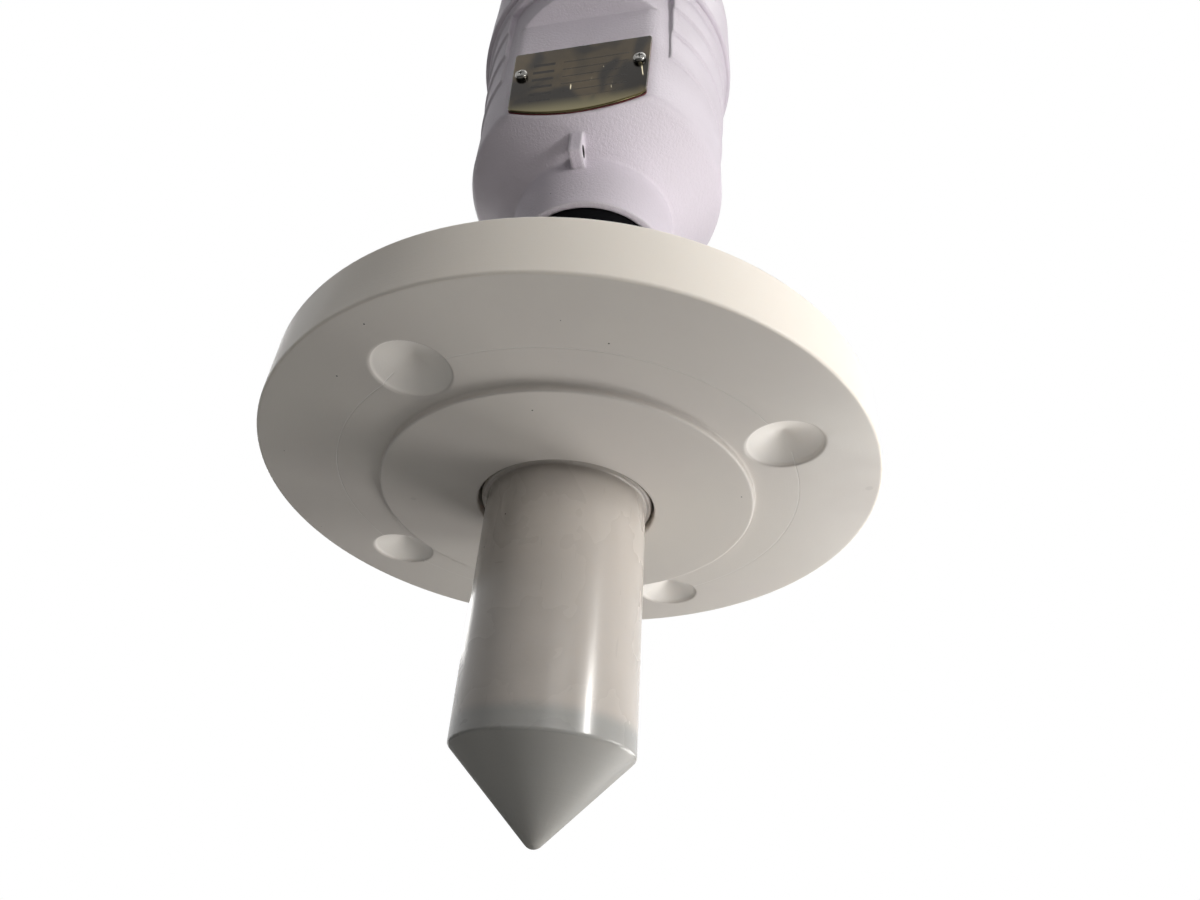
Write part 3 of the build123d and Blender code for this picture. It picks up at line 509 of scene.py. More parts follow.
@dataclass(frozen=True)
class AntennaFinish(Finish):
    """Polished translucent plastic, warm over the hollow part, greyer where solid, duller on its cone, whose colour is
    painted a little lighter to offset the shade of its downward face.
    """

    solid_colour: Colour = (0.375, 0.370, 0.355)
    # cone painted a little lighter than the solid part: painted light offsetting the shade of its downward face
    cone_lightened_colour: Colour = (0.405, 0.395, 0.375)
    hollow_end: float = -0.0605
    change_length: float = 0.0018
    cone_top: float = -0.0657
    cone_length: float = 0.0006
    cone_roughness: float = 0.52

    def surface(self, tree: Tree, effects: Effects, place: Socket) -> tuple[Socket, Socket]:
        """Shades the common colour towards the solid part's, then the cone's painted-lighter colour, and dulls the
        cone.
        """
        colour, rough = super().surface(tree, effects, place)
        _, _, height = tree.parts(place)
        solid = tree.band(
            height, self.hollow_end - self.change_length, self.hollow_end + self.change_length, 1.0, 0.0)
        cone = self.on_cone(tree, place)
        colour = tree.blend(cone, tree.blend(solid, colour, self.solid_colour), self.cone_lightened_colour)
        dull = tree.times(cone, self.cone_roughness)
        return colour, tree.combine(Combine.LARGER, rough, dull)

    def extra(self, tree: Tree, effects: Effects, place: Socket, shader: bpy.types.Node) -> None:
        """Leaves the coat off the cone."""
        bare = tree.combine(Combine.SUBTRACT, 1.0, self.on_cone(tree, place))
        tree.feed(shader.inputs["Coat Weight"], tree.times(bare, self.coat))

    def on_cone(self, tree: Tree, place: Socket) -> Socket:
        """Mask of the cone, below the cylinder's end."""
        _, _, height = tree.parts(place)
        return tree.band(height, self.cone_top - self.cone_length, self.cone_top, 1.0, 0.0)


@dataclass(frozen=True)
class PlateFinish(Finish):
    """Bright rolled plate with the room's reflections painted on, and blank printed form lines."""

    print_colour: Colour = (0.010, 0.007, 0.005)
    dark_colour: Colour = (0.010, 0.007, 0.004)
    glow_colour: Colour = (0.19, 0.165, 0.085)
    streak_colour: Colour = (0.95, 0.84, 0.60)
    glow_span: tuple[float, float] = (0.126, 0.1355)
    streak_span: tuple[float, float] = (0.1335, 0.1500)
    row_pitch: float = 0.0044
    first_row: float = 0.1340
    last_row: float = 0.1585
    label_span: tuple[float, float] = (-0.0165, -0.0090)
    line_span: tuple[float, float] = (-0.0060, 0.0165)
    bar_half: float = 0.00075
    line_half: float = 0.00022
    print_strength: float = 0.9
    print_roughness: float = 0.3

    def surface(self, tree: Tree, effects: Effects, place: Socket) -> tuple[Socket, Socket]:
        """Paints the reflections, then prints the blank form over them."""
        colour, rough = super().surface(tree, effects, place)
        turned, _, height = self.facing(tree, place)
        colour = self.mirrored(tree, turned, height, colour)
        mask = self.printed(tree, place)
        return (tree.blend(tree.times(mask, self.print_strength), colour, self.print_colour),
                tree.combine(Combine.ADD, rough, tree.times(mask, self.print_roughness)))

    def extra(self, tree: Tree, effects: Effects, place: Socket, shader: bpy.types.Node) -> None:
        """Makes the print a dull ink instead of metal."""
        tree.feed(shader.inputs["Metallic"], tree.combine(Combine.SUBTRACT, 1.0, self.printed(tree, place)))

    def facing(self, tree: Tree, place: Socket) -> tuple[Socket, Socket, Socket]:
        """Place with the plate facing -Y, its distance across and its height."""
        turned = tree.node("ShaderNodeMapping", {"Vector": place, "Rotation": (0.0, 0.0, FRONT_TURN)})
        across, _, height = tree.parts(turned.outputs["Vector"])
        return turned.outputs["Vector"], across, height

    def printed(self, tree: Tree, place: Socket) -> Socket:
        """Mask of short label bars and thin blank lines in evenly spaced rows.

        Args:
            tree: The material's tree.
            place: Object coordinates.

        Returns:
            Socket that is 1 on the print.
        """
        _, across, height = self.facing(tree, place)
        rows = tree.within(height, self.first_row, self.last_row)
        risen = tree.combine(Combine.SUBTRACT, height, self.first_row)
        steps = tree.combine(Combine.PING, risen, self.row_pitch / 2)
        label, line = (
            tree.times(tree.within(across, *span), tree.combine(Combine.LESS, steps, half))
            for span, half in ((self.label_span, self.bar_half), (self.line_span, self.line_half)))
        return tree.times(tree.combine(Combine.LARGER, label, line), rows)

    def mirrored(self, tree: Tree, turned: Socket, height: Socket, colour: Socket) -> Socket:
        """Broad dark and bright patches, a glow along the lower edge and a few thin bright streaks.

        Args:
            tree: The material's tree.
            turned: Place with the plate facing -Y.
            height: Height of the place.
            colour: The colour to tint.

        Returns:
            Socket of the tinted colour.
        """
        broad = tree.node("ShaderNodeMapping", {"Vector": turned, "Scale": (1.0, 1.0, 0.55)})
        patch = tree.node("ShaderNodeTexNoise", {
            "Vector": broad.outputs["Vector"], "Scale": 62.0, "Detail": 1.5, "Distortion": 1.2})
        colour = tree.blend(tree.band(patch.outputs["Fac"], 0.38, 0.54), colour, self.dark_colour)
        glow = tree.band(height, *self.glow_span, 0.85, 0.0)
        colour = tree.blend(glow, colour, self.glow_colour)
        upright = tree.node("ShaderNodeMapping", {"Vector": turned, "Scale": (6.0, 1.0, 0.6)})
        streak = tree.node("ShaderNodeTexNoise", {
            "Vector": upright.outputs["Vector"], "Scale": 75.0, "Detail": 2.0, "Distortion": 0.5})
        bright = tree.times(tree.band(streak.outputs["Fac"], 0.66, 0.72),
                            tree.within(height, *self.streak_span))
        return tree.blend(bright, colour, self.streak_colour)


@dataclass(frozen=True)
class CastingFinish(Finish):
    """Powder coat over a casting, left off the machined thread of its collar, with painted shade in its lug's wire
    hole.
    """

    thread_foot: float = 0.2052
    thread_radius: float = 0.0470
    thread_pitch: float = 0.0015
    thread_depth: float = 0.0006
    bare_colour: Colour = (0.58, 0.58, 0.57)
    hole_place: tuple[float, float] = (-0.0312, 0.1170)
    hole_radius: float = 0.00206
    lug_half: float = 0.00215
    # near-black painted shade inside the lug's wire hole
    hole_shade_colour: Colour = (0.05, 0.045, 0.05)

    def surface(self, tree: Tree, effects: Effects, place: Socket) -> tuple[Socket, Socket]:
        """Shows bare metal on the thread and paints shade into the lug's wire hole."""
        colour, rough = super().surface(tree, effects, place)
        colour = tree.blend(self.shaded_hole(tree, place), colour, self.hole_shade_colour)
        return tree.blend(self.threaded(tree, place), colour, self.bare_colour), rough

    def shaded_hole(self, tree: Tree, place: Socket) -> Socket:
        """Mask of the painted shade in the wire hole: its wall, within its radius of its axis and inside the lug's
        width.
        """
        turned = tree.node("ShaderNodeMapping", {"Vector": place, "Rotation": (0.0, 0.0, FRONT_TURN)})
        across, along, height = tree.parts(turned.outputs["Vector"])
        sides = [tree.combine(Combine.SUBTRACT, value, middle)
                 for value, middle in zip((along, height), self.hole_place)]
        squares = [tree.times(side, side) for side in sides]
        near = tree.combine(Combine.LESS, tree.combine(Combine.ADD, *squares), self.hole_radius ** 2)
        inside = tree.combine(Combine.LESS, tree.absolute(across), self.lug_half)
        return tree.times(near, inside)

    def relief(self, tree: Tree, effects: Effects, place: Socket) -> Socket:
        """Adds the thread's ridges: a triangle wave of height over pitch plus the share of a full turn."""
        normal = super().relief(tree, effects, place)
        across, along, height = tree.parts(place)
        turns = tree.combine(Combine.DIVIDE, tree.combine(Combine.ANGLE, along, across), 2 * pi)
        steps = tree.combine(Combine.ADD, tree.combine(Combine.DIVIDE, height, self.thread_pitch), turns)
        wave = tree.times(tree.combine(Combine.PING, steps, 0.5), 2.0)
        ridge = tree.times(wave, self.threaded(tree, place))
        return tree.bump(ridge, self.thread_depth, normal)

    def extra(self, tree: Tree, effects: Effects, place: Socket, shader: bpy.types.Node) -> None:
        """Makes the bare thread metallic."""
        tree.feed(shader.inputs["Metallic"], self.threaded(tree, place))

    def threaded(self, tree: Tree, place: Socket) -> Socket:
        """Mask of the collar: above its foot and inside its thread's radius."""
        _, _, height = tree.parts(place)
        inside = tree.combine(Combine.LESS, tree.radius(place), self.thread_radius)
        return tree.times(inside, tree.combine(Combine.MORE, height, self.thread_foot))


@dataclass(frozen=True)
class GlassFinish(Finish):
    """Clear window glass with a faint uneven tint."""

    def extra(self, tree: Tree, effects: Effects, place: Socket, shader: bpy.types.Node) -> None:
        """Makes the common build transparent."""
        shader.inputs["Transmission Weight"].default_value = 0.96
        shader.inputs["IOR"].default_value = 1.50


class Finishes:
    """Every finish of the transmitter, built once."""

    def __init__(self, effects: Effects) -> None:
        """Builds each material from its finish."""
        powder_coat = {
            "colour": (0.72, 0.66, 0.735), "second_colour": (0.69, 0.635, 0.70), "roughness": 0.52,
            "grain_scale": 1150.0, "grain_depth": 0.00019, "mottle_scale": 22.0, "speck_share": 0.03,
            # the edge colour here is a pale painted highlight along the casting's crests and creases
            "edge_highlight_colour": (0.98, 0.95, 0.99)}
        made = [
            FlangeFinish(
                name="flange_plastic", colour=(0.745, 0.705, 0.655), second_colour=(0.715, 0.67, 0.63),
                roughness=0.46, subsurface=0.12, subsurface_reach=0.004, grain_scale=2200.0,
                grain_depth=0.000012, mottle_scale=16.0, speck_share=0.18,
                turning_marks=2600.0, turning_depth=0.000012, edge_radius=0.0006),
            AntennaFinish(
                name="antenna_plastic", colour=(0.55, 0.505, 0.465), second_colour=(0.515, 0.475, 0.435),
                roughness=0.26, coat=0.16, gloss=0.36, subsurface=0.35, subsurface_reach=0.006,
                grain_scale=500.0, grain_depth=0.000010, mottle_scale=24.0, speck_share=0.16,
                scratch_scale=130.0, scratch_strength=0.20, turning_marks=900.0, turning_depth=0.000006,
                edge_radius=0.0003),
            CastingFinish(name="housing_paint", edge_radius=0.0015, **powder_coat),
            Finish(name="cover_paint", edge_radius=0.0012, **powder_coat),
            # black sleeve, painted darker than black plastic so that it also stands for the shade inside the boss
            # opening: partly real, partly painted shade
            Finish(
                name="sleeve_plastic", colour=(0.004, 0.004, 0.005), second_colour=(0.006, 0.006, 0.006),
                roughness=0.78, gloss=0.04, grain_scale=1500.0, grain_depth=0.00002, turning_marks=1500.0,
                turning_depth=0.00001),
            Finish(
                name="seal_rubber", colour=(0.018, 0.018, 0.018), second_colour=(0.028, 0.027, 0.026),
                roughness=0.62, grain_scale=1800.0, grain_depth=0.00002, mottle_scale=60.0),
            Finish(
                name="stainless", colour=(0.56, 0.55, 0.525), second_colour=(0.50, 0.49, 0.465),
                roughness=0.27, metallic=1.0, grain_scale=2400.0, grain_depth=0.000004, turning_marks=5200.0,
                turning_depth=0.00002, scratch_strength=0.12, scratch_scale=90.0,
                edge_highlight_colour=(0.70, 0.69, 0.67)),
            PlateFinish(
                name="nameplate_steel", colour=(0.060, 0.042, 0.020), second_colour=(0.036, 0.026, 0.013),
                roughness=0.12, metallic=1.0, gloss=0.15, grain_scale=2600.0, grain_depth=0.000004,
                mottle_scale=70.0, scratch_strength=0.5, scratch_scale=90.0, edge_radius=0.0002,
                edge_highlight_colour=(0.42, 0.38, 0.25)),
            Finish(
                name="tape", colour=(0.16, 0.018, 0.02), second_colour=(0.10, 0.014, 0.016), roughness=0.55,
                grain_scale=2000.0, grain_depth=0.00002),
            Finish(
                name="screw_steel", colour=(0.30, 0.295, 0.28), second_colour=(0.16, 0.155, 0.145),
                roughness=0.2, metallic=1.0, grain_scale=3000.0, grain_depth=0.000005, mottle_scale=400.0,
                edge_radius=0.00025, edge_highlight_colour=(0.80, 0.79, 0.76)),
            Finish(
                name="gland_metal", colour=(0.62, 0.60, 0.56), second_colour=(0.54, 0.525, 0.49),
                roughness=0.20, metallic=1.0, grain_scale=2600.0, grain_depth=0.000005, turning_marks=3000.0,
                turning_depth=0.000012, scratch_strength=0.3, edge_highlight_colour=(0.74, 0.72, 0.68)),
            Finish(
                name="washer_plastic", colour=(0.62, 0.61, 0.57), second_colour=(0.55, 0.54, 0.50),
                roughness=0.5, subsurface=0.1, subsurface_reach=0.001, grain_scale=1500.0,
                grain_depth=0.00001),
            Finish(
                name="module_metal", colour=(0.52, 0.53, 0.54), second_colour=(0.46, 0.47, 0.48),
                roughness=0.38, metallic=1.0, grain_scale=1800.0, grain_depth=0.00001, turning_marks=2600.0,
                turning_depth=0.00002, scratch_strength=0.3),
            Finish(
                name="cup_plastic", colour=(0.055, 0.058, 0.064), second_colour=(0.07, 0.073, 0.08),
                roughness=0.42, grain_scale=1700.0, grain_depth=0.000025),
            Finish(
                name="board", colour=(0.022, 0.11, 0.045), second_colour=(0.03, 0.15, 0.06), roughness=0.3,
                coat=0.4, grain_scale=900.0, grain_depth=0.00002, mottle_scale=260.0),
            Finish(
                name="carrier_plastic", colour=(0.10, 0.105, 0.115), second_colour=(0.12, 0.125, 0.135),
                roughness=0.4, grain_scale=1700.0, grain_depth=0.000025),
            Finish(
                name="contact_gold", colour=(0.78, 0.56, 0.22), second_colour=(0.70, 0.50, 0.19),
                roughness=0.2, metallic=1.0, grain_scale=3000.0, grain_depth=0.000003),
            Finish(
                name="display_plastic", colour=(0.13, 0.145, 0.165), second_colour=(0.15, 0.165, 0.185),
                roughness=0.38, grain_scale=1900.0, grain_depth=0.00002, mottle_scale=40.0,
                scratch_strength=0.2, edge_highlight_colour=(0.22, 0.23, 0.25)),
            Finish(
                name="screen_glass", colour=(0.20, 0.235, 0.16), second_colour=(0.215, 0.25, 0.17),
                roughness=0.16, coat=0.8, grain_scale=2200.0, grain_depth=0.000002, mottle_scale=30.0),
            Finish(
                name="key_plastic", colour=(0.16, 0.21, 0.29), second_colour=(0.18, 0.23, 0.31),
                roughness=0.42, grain_scale=1800.0, grain_depth=0.00002, edge_highlight_colour=(0.26, 0.31, 0.39)),
            GlassFinish(
                name="window_glass", colour=(0.96, 0.98, 0.97), second_colour=(0.95, 0.975, 0.96),
                roughness=0.04, mottle_scale=30.0),
            Finish(
                name="horn_metal", colour=(0.62, 0.62, 0.60), second_colour=(0.56, 0.56, 0.54), roughness=0.3,
                metallic=1.0, turning_marks=3000.0, turning_depth=0.00002, grain_depth=0.000005),
            Finish(
                name="feed_plastic", colour=(0.80, 0.79, 0.76), second_colour=(0.76, 0.75, 0.72),
                roughness=0.4, turning_marks=3000.0, turning_depth=0.00001, grain_depth=0.00001),
        ]
        self.materials = {finish.name: finish.build(effects) for finish in made}

    def dress(self) -> None:
        """Gives each CAD node the finish that the record names for it."""
        for part in frame["record"]["subparts"]:
            node = frame["nodes"][part["node"]]
            node.data.materials.clear()
            node.data.materials.append(self.materials[part["material_slot"]])
            LOG.info("dressed %s with %s", part["node"], part["material_slot"])


@dataclass(frozen=True)
class Piece:
    """A new piece in millimetres: the body it rides on, the CAD node it stands for and its finish."""

    name: str
    body: Body
    node: str
    finish: str

    def surface(self) -> tuple[np.ndarray, np.ndarray]:
        """Vertices in millimetres, one row each, and faces of four vertex numbers."""
        raise NotImplementedError

    def add(self, finishes: Finishes) -> None:
        """Makes the piece's object, hides the CAD node and dresses the piece.

        Args:
            finishes: The materials by name.
        """
        vertices, faces = self.surface()
        mesh = bpy.data.meshes.new(self.name)
        mesh.from_pydata((vertices * MILLIMETRE).tolist(), [], faces.tolist())
        mesh.shade_smooth()
        mesh.materials.append(finishes.materials[self.finish])
        made = bpy.data.objects.new(self.name, mesh)
        bpy.context.scene.collection.objects.link(made)
        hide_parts(self.node)
        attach(made, self.body.value)
        LOG.info("%s: %d faces in place of %s", self.name, len(faces), self.node)


def grid_faces(rows: int, columns: int, closed_rows: bool, closed_columns: bool) -> np.ndarray:
    """Faces of a grid of vertices numbered row by row.

    Args:
        rows: Number of rows.
        columns: Vertices in a row.
        closed_rows: True joins the last row to the first.
        closed_columns: True joins each row's end to its start.

    Returns:
        One row of four vertex numbers a face.
    """
    numbers = np.arange(rows * columns).reshape(rows, columns)
    if closed_rows:
        numbers = np.vstack([numbers, numbers[:1]])
    if closed_columns:
        numbers = np.hstack([numbers, numbers[:, :1]])
    corners = [numbers[:-1, :-1], numbers[:-1, 1:], numbers[1:, 1:], numbers[1:, :-1]]
    return np.stack([corner.ravel() for corner in corners], axis=1)


def rounded(corners: list[tuple[float, float, float]], steps: int = 8, hold: float = 0.12) -> np.ndarray:
    """Closed outline whose corners are broken by arcs.

    An arc starts at radius times the tangent of half the turning angle before its corner and ends as far
    behind it. A held point just outside each end keeps the straight runs flat when shaded smooth.

    Args:
        corners: Radius, height and round of each corner in order.
        steps: Straight steps in an arc.
        hold: Distance of the held points from the arc's ends.

    Returns:
        One row of radius and height a point.
    """
    points = []
    for number, (radius, height, size) in enumerate(corners):
        corner = np.array([radius, height])
        before, after = (np.array(corners[n % len(corners)][:2]) for n in (number - 1, number + 1))
        come, leave = ((v / np.linalg.norm(v)) for v in (corner - before, after - corner))
        turn = np.arccos(np.clip(come @ leave, -1.0, 1.0))
        reach = size * np.tan(turn / 2)
        start, end = corner - come * reach, corner + leave * reach
        side = leave - come * (come @ leave)
        middle = start + side / np.linalg.norm(side) * size
        points.append(start - come * hold)
        for share in np.linspace(0.0, 1.0, steps + 1):
            spread = (start - middle) * np.sin((1 - share) * turn) + (end - middle) * np.sin(share * turn)
            points.append(middle + spread / np.sin(turn))
        points.append(end + leave * hold)
    return np.array(points)


@dataclass(frozen=True)
class ProcessFlange(Piece):
    """Turned plastic flange with four soft-edged spot marks for its bolts."""

    name: str = "turned_flange"
    body: Body = Body.PROCESS
    node: str = "process_flange"
    finish: str = "flange_plastic"
    face_radius: float = 51.0
    face_height: float = 2.0
    recess_radius: float = 24.45
    socket_radius: float = 29.9
    socket_floor: float = 7.0
    groove: tuple[float, float] = (26.35, 28.75)
    groove_foot: float = 4.6
    rim_round: float = 0.6
    circle_radius: float = BOLT_CIRCLE
    mark_radius: float = 9.05
    mark_wall: float = 0.35
    mark_slope: float = radians(26.0)
    mark_nose: float = 1.0
    mark_lip: float = 0.7
    mark_phase: float = radians(-126.3)
    mark_count: int = 4
    mark_columns: int = 74
    point_step: float = 0.34

    def surface(self) -> tuple[np.ndarray, np.ndarray]:
        """Turns the rounded profile about the axis and presses the marks into its underside."""
        low, high = (corner[2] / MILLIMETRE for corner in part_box(self.node))
        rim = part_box(self.node)[1][0] / MILLIMETRE
        outline = rounded([
            (self.recess_radius, low, 0.45), (self.face_radius, low, 0.5),
            (self.face_radius, self.face_height, 0.5), (rim, self.face_height, self.rim_round),
            (rim, high, self.rim_round), (self.socket_radius, high, 0.3),
            (self.socket_radius, self.socket_floor, 0.2), (self.groove[1], self.socket_floor, 0.1),
            (self.groove[1], self.groove_foot, 0.1), (self.groove[0], self.groove_foot, 0.1),
            (self.groove[0], self.socket_floor, 0.1), (self.recess_radius, self.socket_floor, 0.2),
        ])
        outline = self.finer(outline)
        angles = self.angles()
        radius, height = np.meshgrid(outline[:, 0], angles)[0], np.meshgrid(outline[:, 1], angles)[0]
        turn = np.meshgrid(outline[:, 0], angles)[1]
        across, along = radius * np.cos(turn), radius * np.sin(turn)
        under = np.isclose(height, self.face_height)
        height = height + np.where(under, self.depth(across, along), 0.0)
        vertices = np.stack([across, along, height], axis=-1).reshape(-1, 3)
        return vertices, grid_faces(len(angles), len(outline), True, True)

    def finer(self, outline: np.ndarray) -> np.ndarray:
        """Adds points along the underside where the marks lie, a third of a millimetre apart."""
        span = self.mark_radius + self.mark_lip
        extra = np.arange(self.circle_radius - span, self.circle_radius + span, self.point_step)
        before = np.isclose(outline[:, 1], self.face_height) & (outline[:, 0] < extra[0])
        after = np.flatnonzero(before)[-1] + 1
        run = np.stack([extra, np.full_like(extra, self.face_height)], axis=1)
        return np.vstack([outline[:after], run, outline[after:]])

    def angles(self) -> np.ndarray:
        """Angles of the columns: every two degrees, and much closer across each mark."""
        span = (self.mark_radius + self.mark_lip) / self.circle_radius
        close = [self.mark_phase + 2 * pi * k / self.mark_count + np.linspace(-span, span, self.mark_columns)
                 for k in range(self.mark_count)]
        every = np.radians(np.arange(0.0, 360.0, 2.0))
        return np.unique(np.round(np.mod(np.concatenate([every, *close]), 2 * pi), 5))

    def depth(self, across: np.ndarray, along: np.ndarray) -> np.ndarray:
        """Depth of the marks: a blunt cone behind a lip that sinks in a smooth step.

        Args:
            across: X of each point.
            along: Y of each point.

        Returns:
            Depth of each point.
        """
        total = np.zeros_like(across)
        for k in range(self.mark_count):
            angle = self.mark_phase + 2 * pi * k / self.mark_count
            away = np.hypot(across - self.circle_radius * cos(angle), along - self.circle_radius * sin(angle))
            blunt = np.sqrt(away ** 2 + (self.mark_nose / 2) ** 2) - self.mark_nose / 2
            cone = np.maximum(self.mark_radius - blunt, 0.0) * np.tan(self.mark_slope)
            share = np.clip((self.mark_radius - away) / self.mark_lip + 0.5, 0.0, 1.0)
            total += share * share * (3 - 2 * share) * (self.mark_wall + cone)
        return total


@dataclass(frozen=True)
class Nameplate(Piece):
    """Thin bright plate with rolled edges, slightly dished between its screws."""

    name: str = "rolled_nameplate"
    body: Body = Body.HOUSING
    node: str = "nameplate"
    finish: str = "nameplate_steel"
    face: float = -40.2
    thickness: float = 0.8
    half_bottom: float = 23.0
    half_top: float = 24.2
    corner_height: float = 131.2
    sag: float = 5.0
    top: float = 165.0
    corner_round: float = 1.5
    edge_round: float = 0.35
    dish: float = 0.30
    across_steps: int = 96
    up_steps: int = 84

    def surface(self) -> tuple[np.ndarray, np.ndarray]:
        """Front and back sheets of one grid each, joined round their edge."""
        front, back = self.sheet(True), self.sheet(False)
        rows, columns = front.shape[:2]
        one = grid_faces(rows, columns, False, False)
        numbers = np.arange(rows * columns).reshape(rows, columns)
        edge = np.concatenate([numbers[0, :], numbers[1:, -1], numbers[-1, -2::-1], numbers[-2:0:-1, 0]])
        after = np.roll(edge, -1)
        side = np.stack([edge, edge + rows * columns, after + rows * columns, after], axis=1)
        faces = np.vstack([one, one[:, ::-1] + rows * columns, side])
        across, away, height = np.concatenate([front, back]).reshape(-1, 3).T
        turned = [across * cos(-FRONT_TURN) - away * sin(-FRONT_TURN),
                  across * sin(-FRONT_TURN) + away * cos(-FRONT_TURN)]
        return np.stack([*turned, height], axis=1), faces

    def sheet(self, front: bool) -> np.ndarray:
        """One side of the plate as a grid of points.

        The half width grows evenly upwards and falls off by a quarter circle at both ends, and the lower
        edge sags by a parabola. The front rolls off within the edge round of every edge, and dishes inwards
        by the product of two cosines.

        Args:
            front: True for the front, False for the flat back.

        Returns:
            Grid of points with X across, Y away from the axis and Z up.
        """
        even = np.linspace(0.0, 1.0, self.up_steps + 1)
        share = (0.5 - 0.5 * np.cos(pi * even))[:, None]
        side = np.sin(0.5 * pi * np.linspace(-1.0, 1.0, self.across_steps + 1))[None, :]
        length = self.top - self.corner_height
        end = np.minimum(share, 1 - share) * length
        inside = np.clip(self.corner_round - end, 0.0, self.corner_round)
        narrower = self.corner_round - np.sqrt(self.corner_round ** 2 - inside ** 2)
        half = self.half_bottom + (self.half_top - self.half_bottom) * share - narrower
        across = side * half
        foot = self.corner_height - self.sag * (1 - (across / self.half_bottom) ** 2)
        height = foot + share * (self.top - foot)
        away = np.full_like(across, self.face + self.thickness)
        if front:
            edge = np.minimum(half * (1 - np.abs(side)), np.minimum(height - foot, self.top - height))
            roll = np.clip(self.edge_round - edge, 0.0, self.edge_round)
            rolled = self.edge_round - np.sqrt(self.edge_round ** 2 - roll ** 2)
            dished = self.dish * np.cos(0.5 * pi * side) * np.sin(pi * share)
            away = self.face + rolled + dished
        return np.stack([across, away, height], axis=-1)


@dataclass(frozen=True)
class Lamp:
    """A rectangular lamp that faces the transmitter: where it stands, its width and height, and its watts."""

    name: str
    place: tuple[float, float, float]
    size: tuple[float, float]
    power: float
    target: tuple[float, float, float] = (0.0, 0.0, 0.04)
    tint: Colour = (1.0, 0.985, 0.96)

    def build(self) -> None:
        """Adds the lamp, out of the camera's own sight."""
        data = bpy.data.lights.new(self.name, "AREA")
        data.shape = "RECTANGLE"
        data.size, data.size_y = self.size
        data.energy = self.power
        data.color = self.tint
        lamp = bpy.data.objects.new(self.name, data)
        bpy.context.scene.collection.objects.link(lamp)
        lamp.visible_camera = False
        aim = (Vector(self.target) - Vector(self.place)).to_track_quat("-Z", "Y")
        lamp.matrix_world = Matrix.Translation(self.place) @ aim.to_matrix().to_4x4()


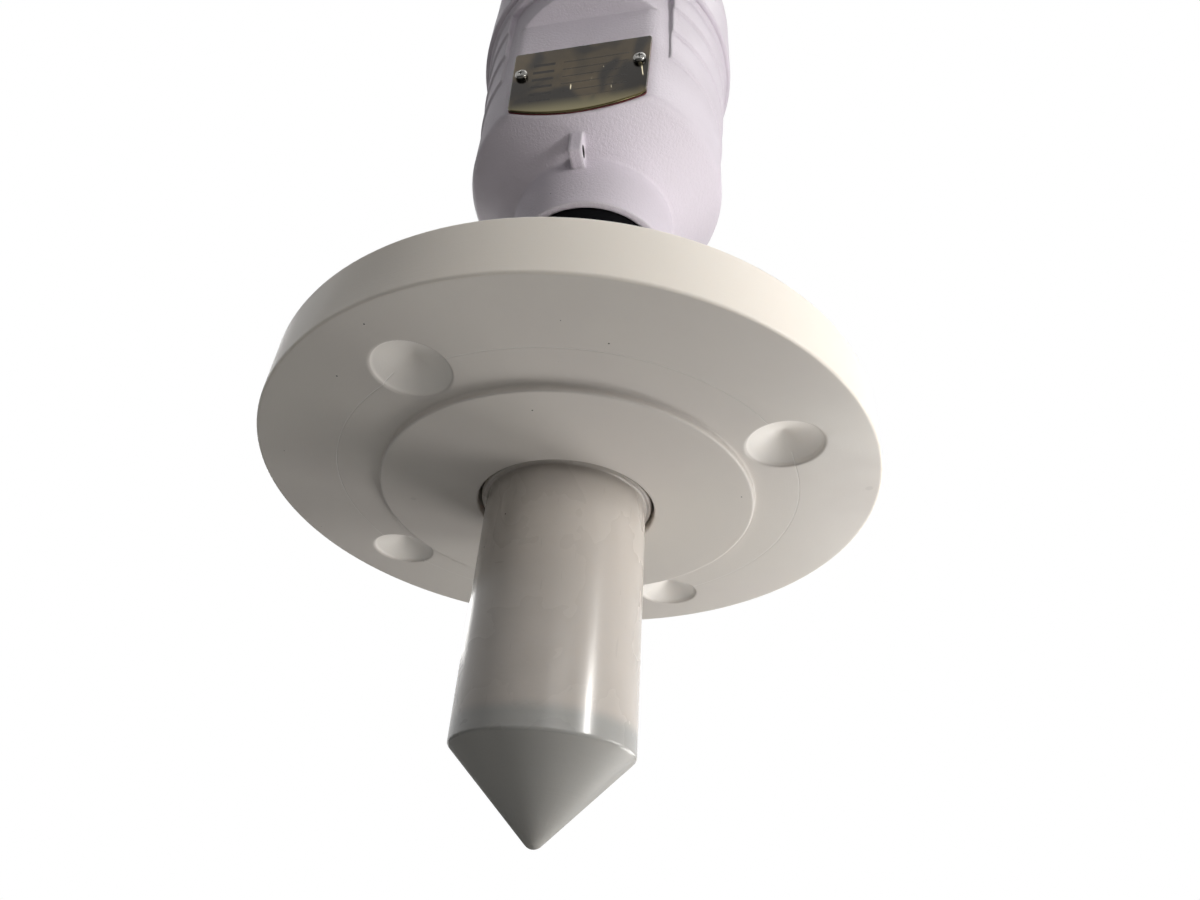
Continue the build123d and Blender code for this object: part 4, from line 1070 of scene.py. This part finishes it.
@dataclass
class Studio:
    """Camera, lamps, floor and surroundings."""

    photo_width: float = 1200.0
    photo_height: float = 900.0
    focal_pixels: float = 748.07
    centre_pixels: tuple[float, float] = (582.03, 500.43)
    sensor: float = 36.0
    camera_place: tuple[float, float, float] = (0.0, -0.17843, -0.10580)
    camera_right: tuple[float, float, float] = (0.99500279, -0.06835011, 0.07278539)
    camera_down: tuple[float, float, float] = (0.09777723, 0.51934445, -0.84895285)
    camera_forward: tuple[float, float, float] = (0.02022533, 0.85182721, 0.52343227)
    floor_level: float = -0.80
    floor_size: float = 60.0
    floor_glow: float = 0.84
    surroundings: Colour = (0.93, 0.97, 1.0)
    surroundings_level: float = 0.035
    lamps: list[Lamp] = field(default_factory=lambda: [
        Lamp("above", (0.25, -0.20, 0.90), (0.60, 0.60), 2.5),
        Lamp("front", (0.12, -0.62, 0.06), (0.25, 0.25), 0.42),
        Lamp("near_front", (0.31, -0.27, 0.04), (0.05, 0.07), 0.80),
        Lamp("near_right", (0.34, 0.0, -0.12), (0.12, 0.12), 0.46),
        Lamp("near_back", (0.20, 0.15, -0.14), (0.12, 0.12), 0.30),
        Lamp("low_right", (0.45, -0.15, -0.35), (0.40, 0.40), 0.18),
        Lamp("far_right", (0.95, 0.10, -0.02), (0.50, 0.70), 0.17),
        Lamp("front_strip", (0.60, -0.47, 0.28), (0.05, 0.45), 0.30),
        Lamp("behind", (-0.35, 0.75, 0.55), (0.60, 0.60), 4.0),
    ])

    def build(self) -> None:
        """Builds everything round the transmitter."""
        self.camera()
        self.floor()
        self.sky()
        for lamp in self.lamps:
            lamp.build()

    def camera(self) -> None:
        """Places the camera where the photograph was taken from, with its lens and framing."""
        data = bpy.data.cameras.new("photo_camera")
        data.sensor_width = self.sensor
        data.lens = self.focal_pixels * self.sensor / self.photo_width
        data.shift_x = (self.photo_width / 2 - self.centre_pixels[0]) / self.photo_width
        data.shift_y = (self.centre_pixels[1] - self.photo_height / 2) / self.photo_width
        data.clip_start = 0.01
        camera = bpy.data.objects.new("photo_camera", data)
        bpy.context.scene.collection.objects.link(camera)
        right, down, forward = (Vector(v) for v in (self.camera_right, self.camera_down, self.camera_forward))
        turn = Matrix((right, -down, -forward)).transposed().to_4x4()
        camera.matrix_world = Matrix.Translation(self.camera_place) @ turn
        bpy.context.scene.camera = camera

    def floor(self) -> None:
        """Lays a pale floor well below the antenna, with a faint unevenness."""
        half = self.floor_size / 2
        mesh = bpy.data.meshes.new("floor")
        corners = [(-half, -half), (half, -half), (half, half), (-half, half)]
        mesh.from_pydata([(x, y, self.floor_level) for x, y in corners], [], [(0, 1, 2, 3)])
        floor = bpy.data.objects.new("floor", mesh)
        bpy.context.scene.collection.objects.link(floor)
        material = bpy.data.materials.new("pale_floor")
        material.use_nodes = True
        tree = Tree(material.node_tree)
        shader = material.node_tree.nodes["Principled BSDF"]
        place = tree.node("ShaderNodeTexCoord").outputs["Object"]
        noise = tree.node("ShaderNodeTexNoise", {"Vector": place, "Scale": 3.0, "Detail": 3.0})
        colour = tree.blend(noise.outputs["Fac"], (0.80, 0.80, 0.79), (0.84, 0.84, 0.83))
        tree.feed(shader.inputs["Base Color"], colour)
        shader.inputs["Roughness"].default_value = 0.7
        path = tree.node("ShaderNodeLightPath")
        tree.feed(shader.inputs["Emission Strength"],
                  tree.times(path.outputs["Is Camera Ray"], self.floor_glow))
        shader.inputs["Emission Color"].default_value = (1.0, 1.0, 0.99, 1.0)
        mesh.materials.append(material)

    def sky(self) -> None:
        """Even grey light from all round that the camera, gloss and glass see as white."""
        world = bpy.data.worlds.new("studio")
        world.use_nodes = True
        world.node_tree.nodes.clear()
        tree = Tree(world.node_tree)
        path = tree.node("ShaderNodeLightPath")
        seen = tree.combine(
            Combine.LARGER, path.outputs["Is Camera Ray"], path.outputs["Is Transmission Ray"])
        seen = tree.combine(Combine.LARGER, seen, path.outputs["Is Glossy Ray"])
        level = tree.band(seen, 0.0, 1.0, self.surroundings_level, 1.0)
        colour = tree.blend(seen, self.surroundings, (1.0, 1.0, 1.0))
        back = tree.node("ShaderNodeBackground", {"Color": colour, "Strength": level})
        tree.node("ShaderNodeOutputWorld", {"Surface": back.outputs["Background"]})
        bpy.context.scene.world = world


def main() -> None:
    """Builds the studio, the finishes and each sub-assembly, in order."""
    bpy.context.scene.view_settings.view_transform = "Standard"
    Studio().build()
    LOG.info("studio built")
    finishes = Finishes(Effects())
    finishes.dress()
    for piece in (ProcessFlange(), Nameplate()):
        piece.add(finishes)


if __name__ == "__main__":
    logging.basicConfig(level=logging.INFO, format="%(message)s")
    main()
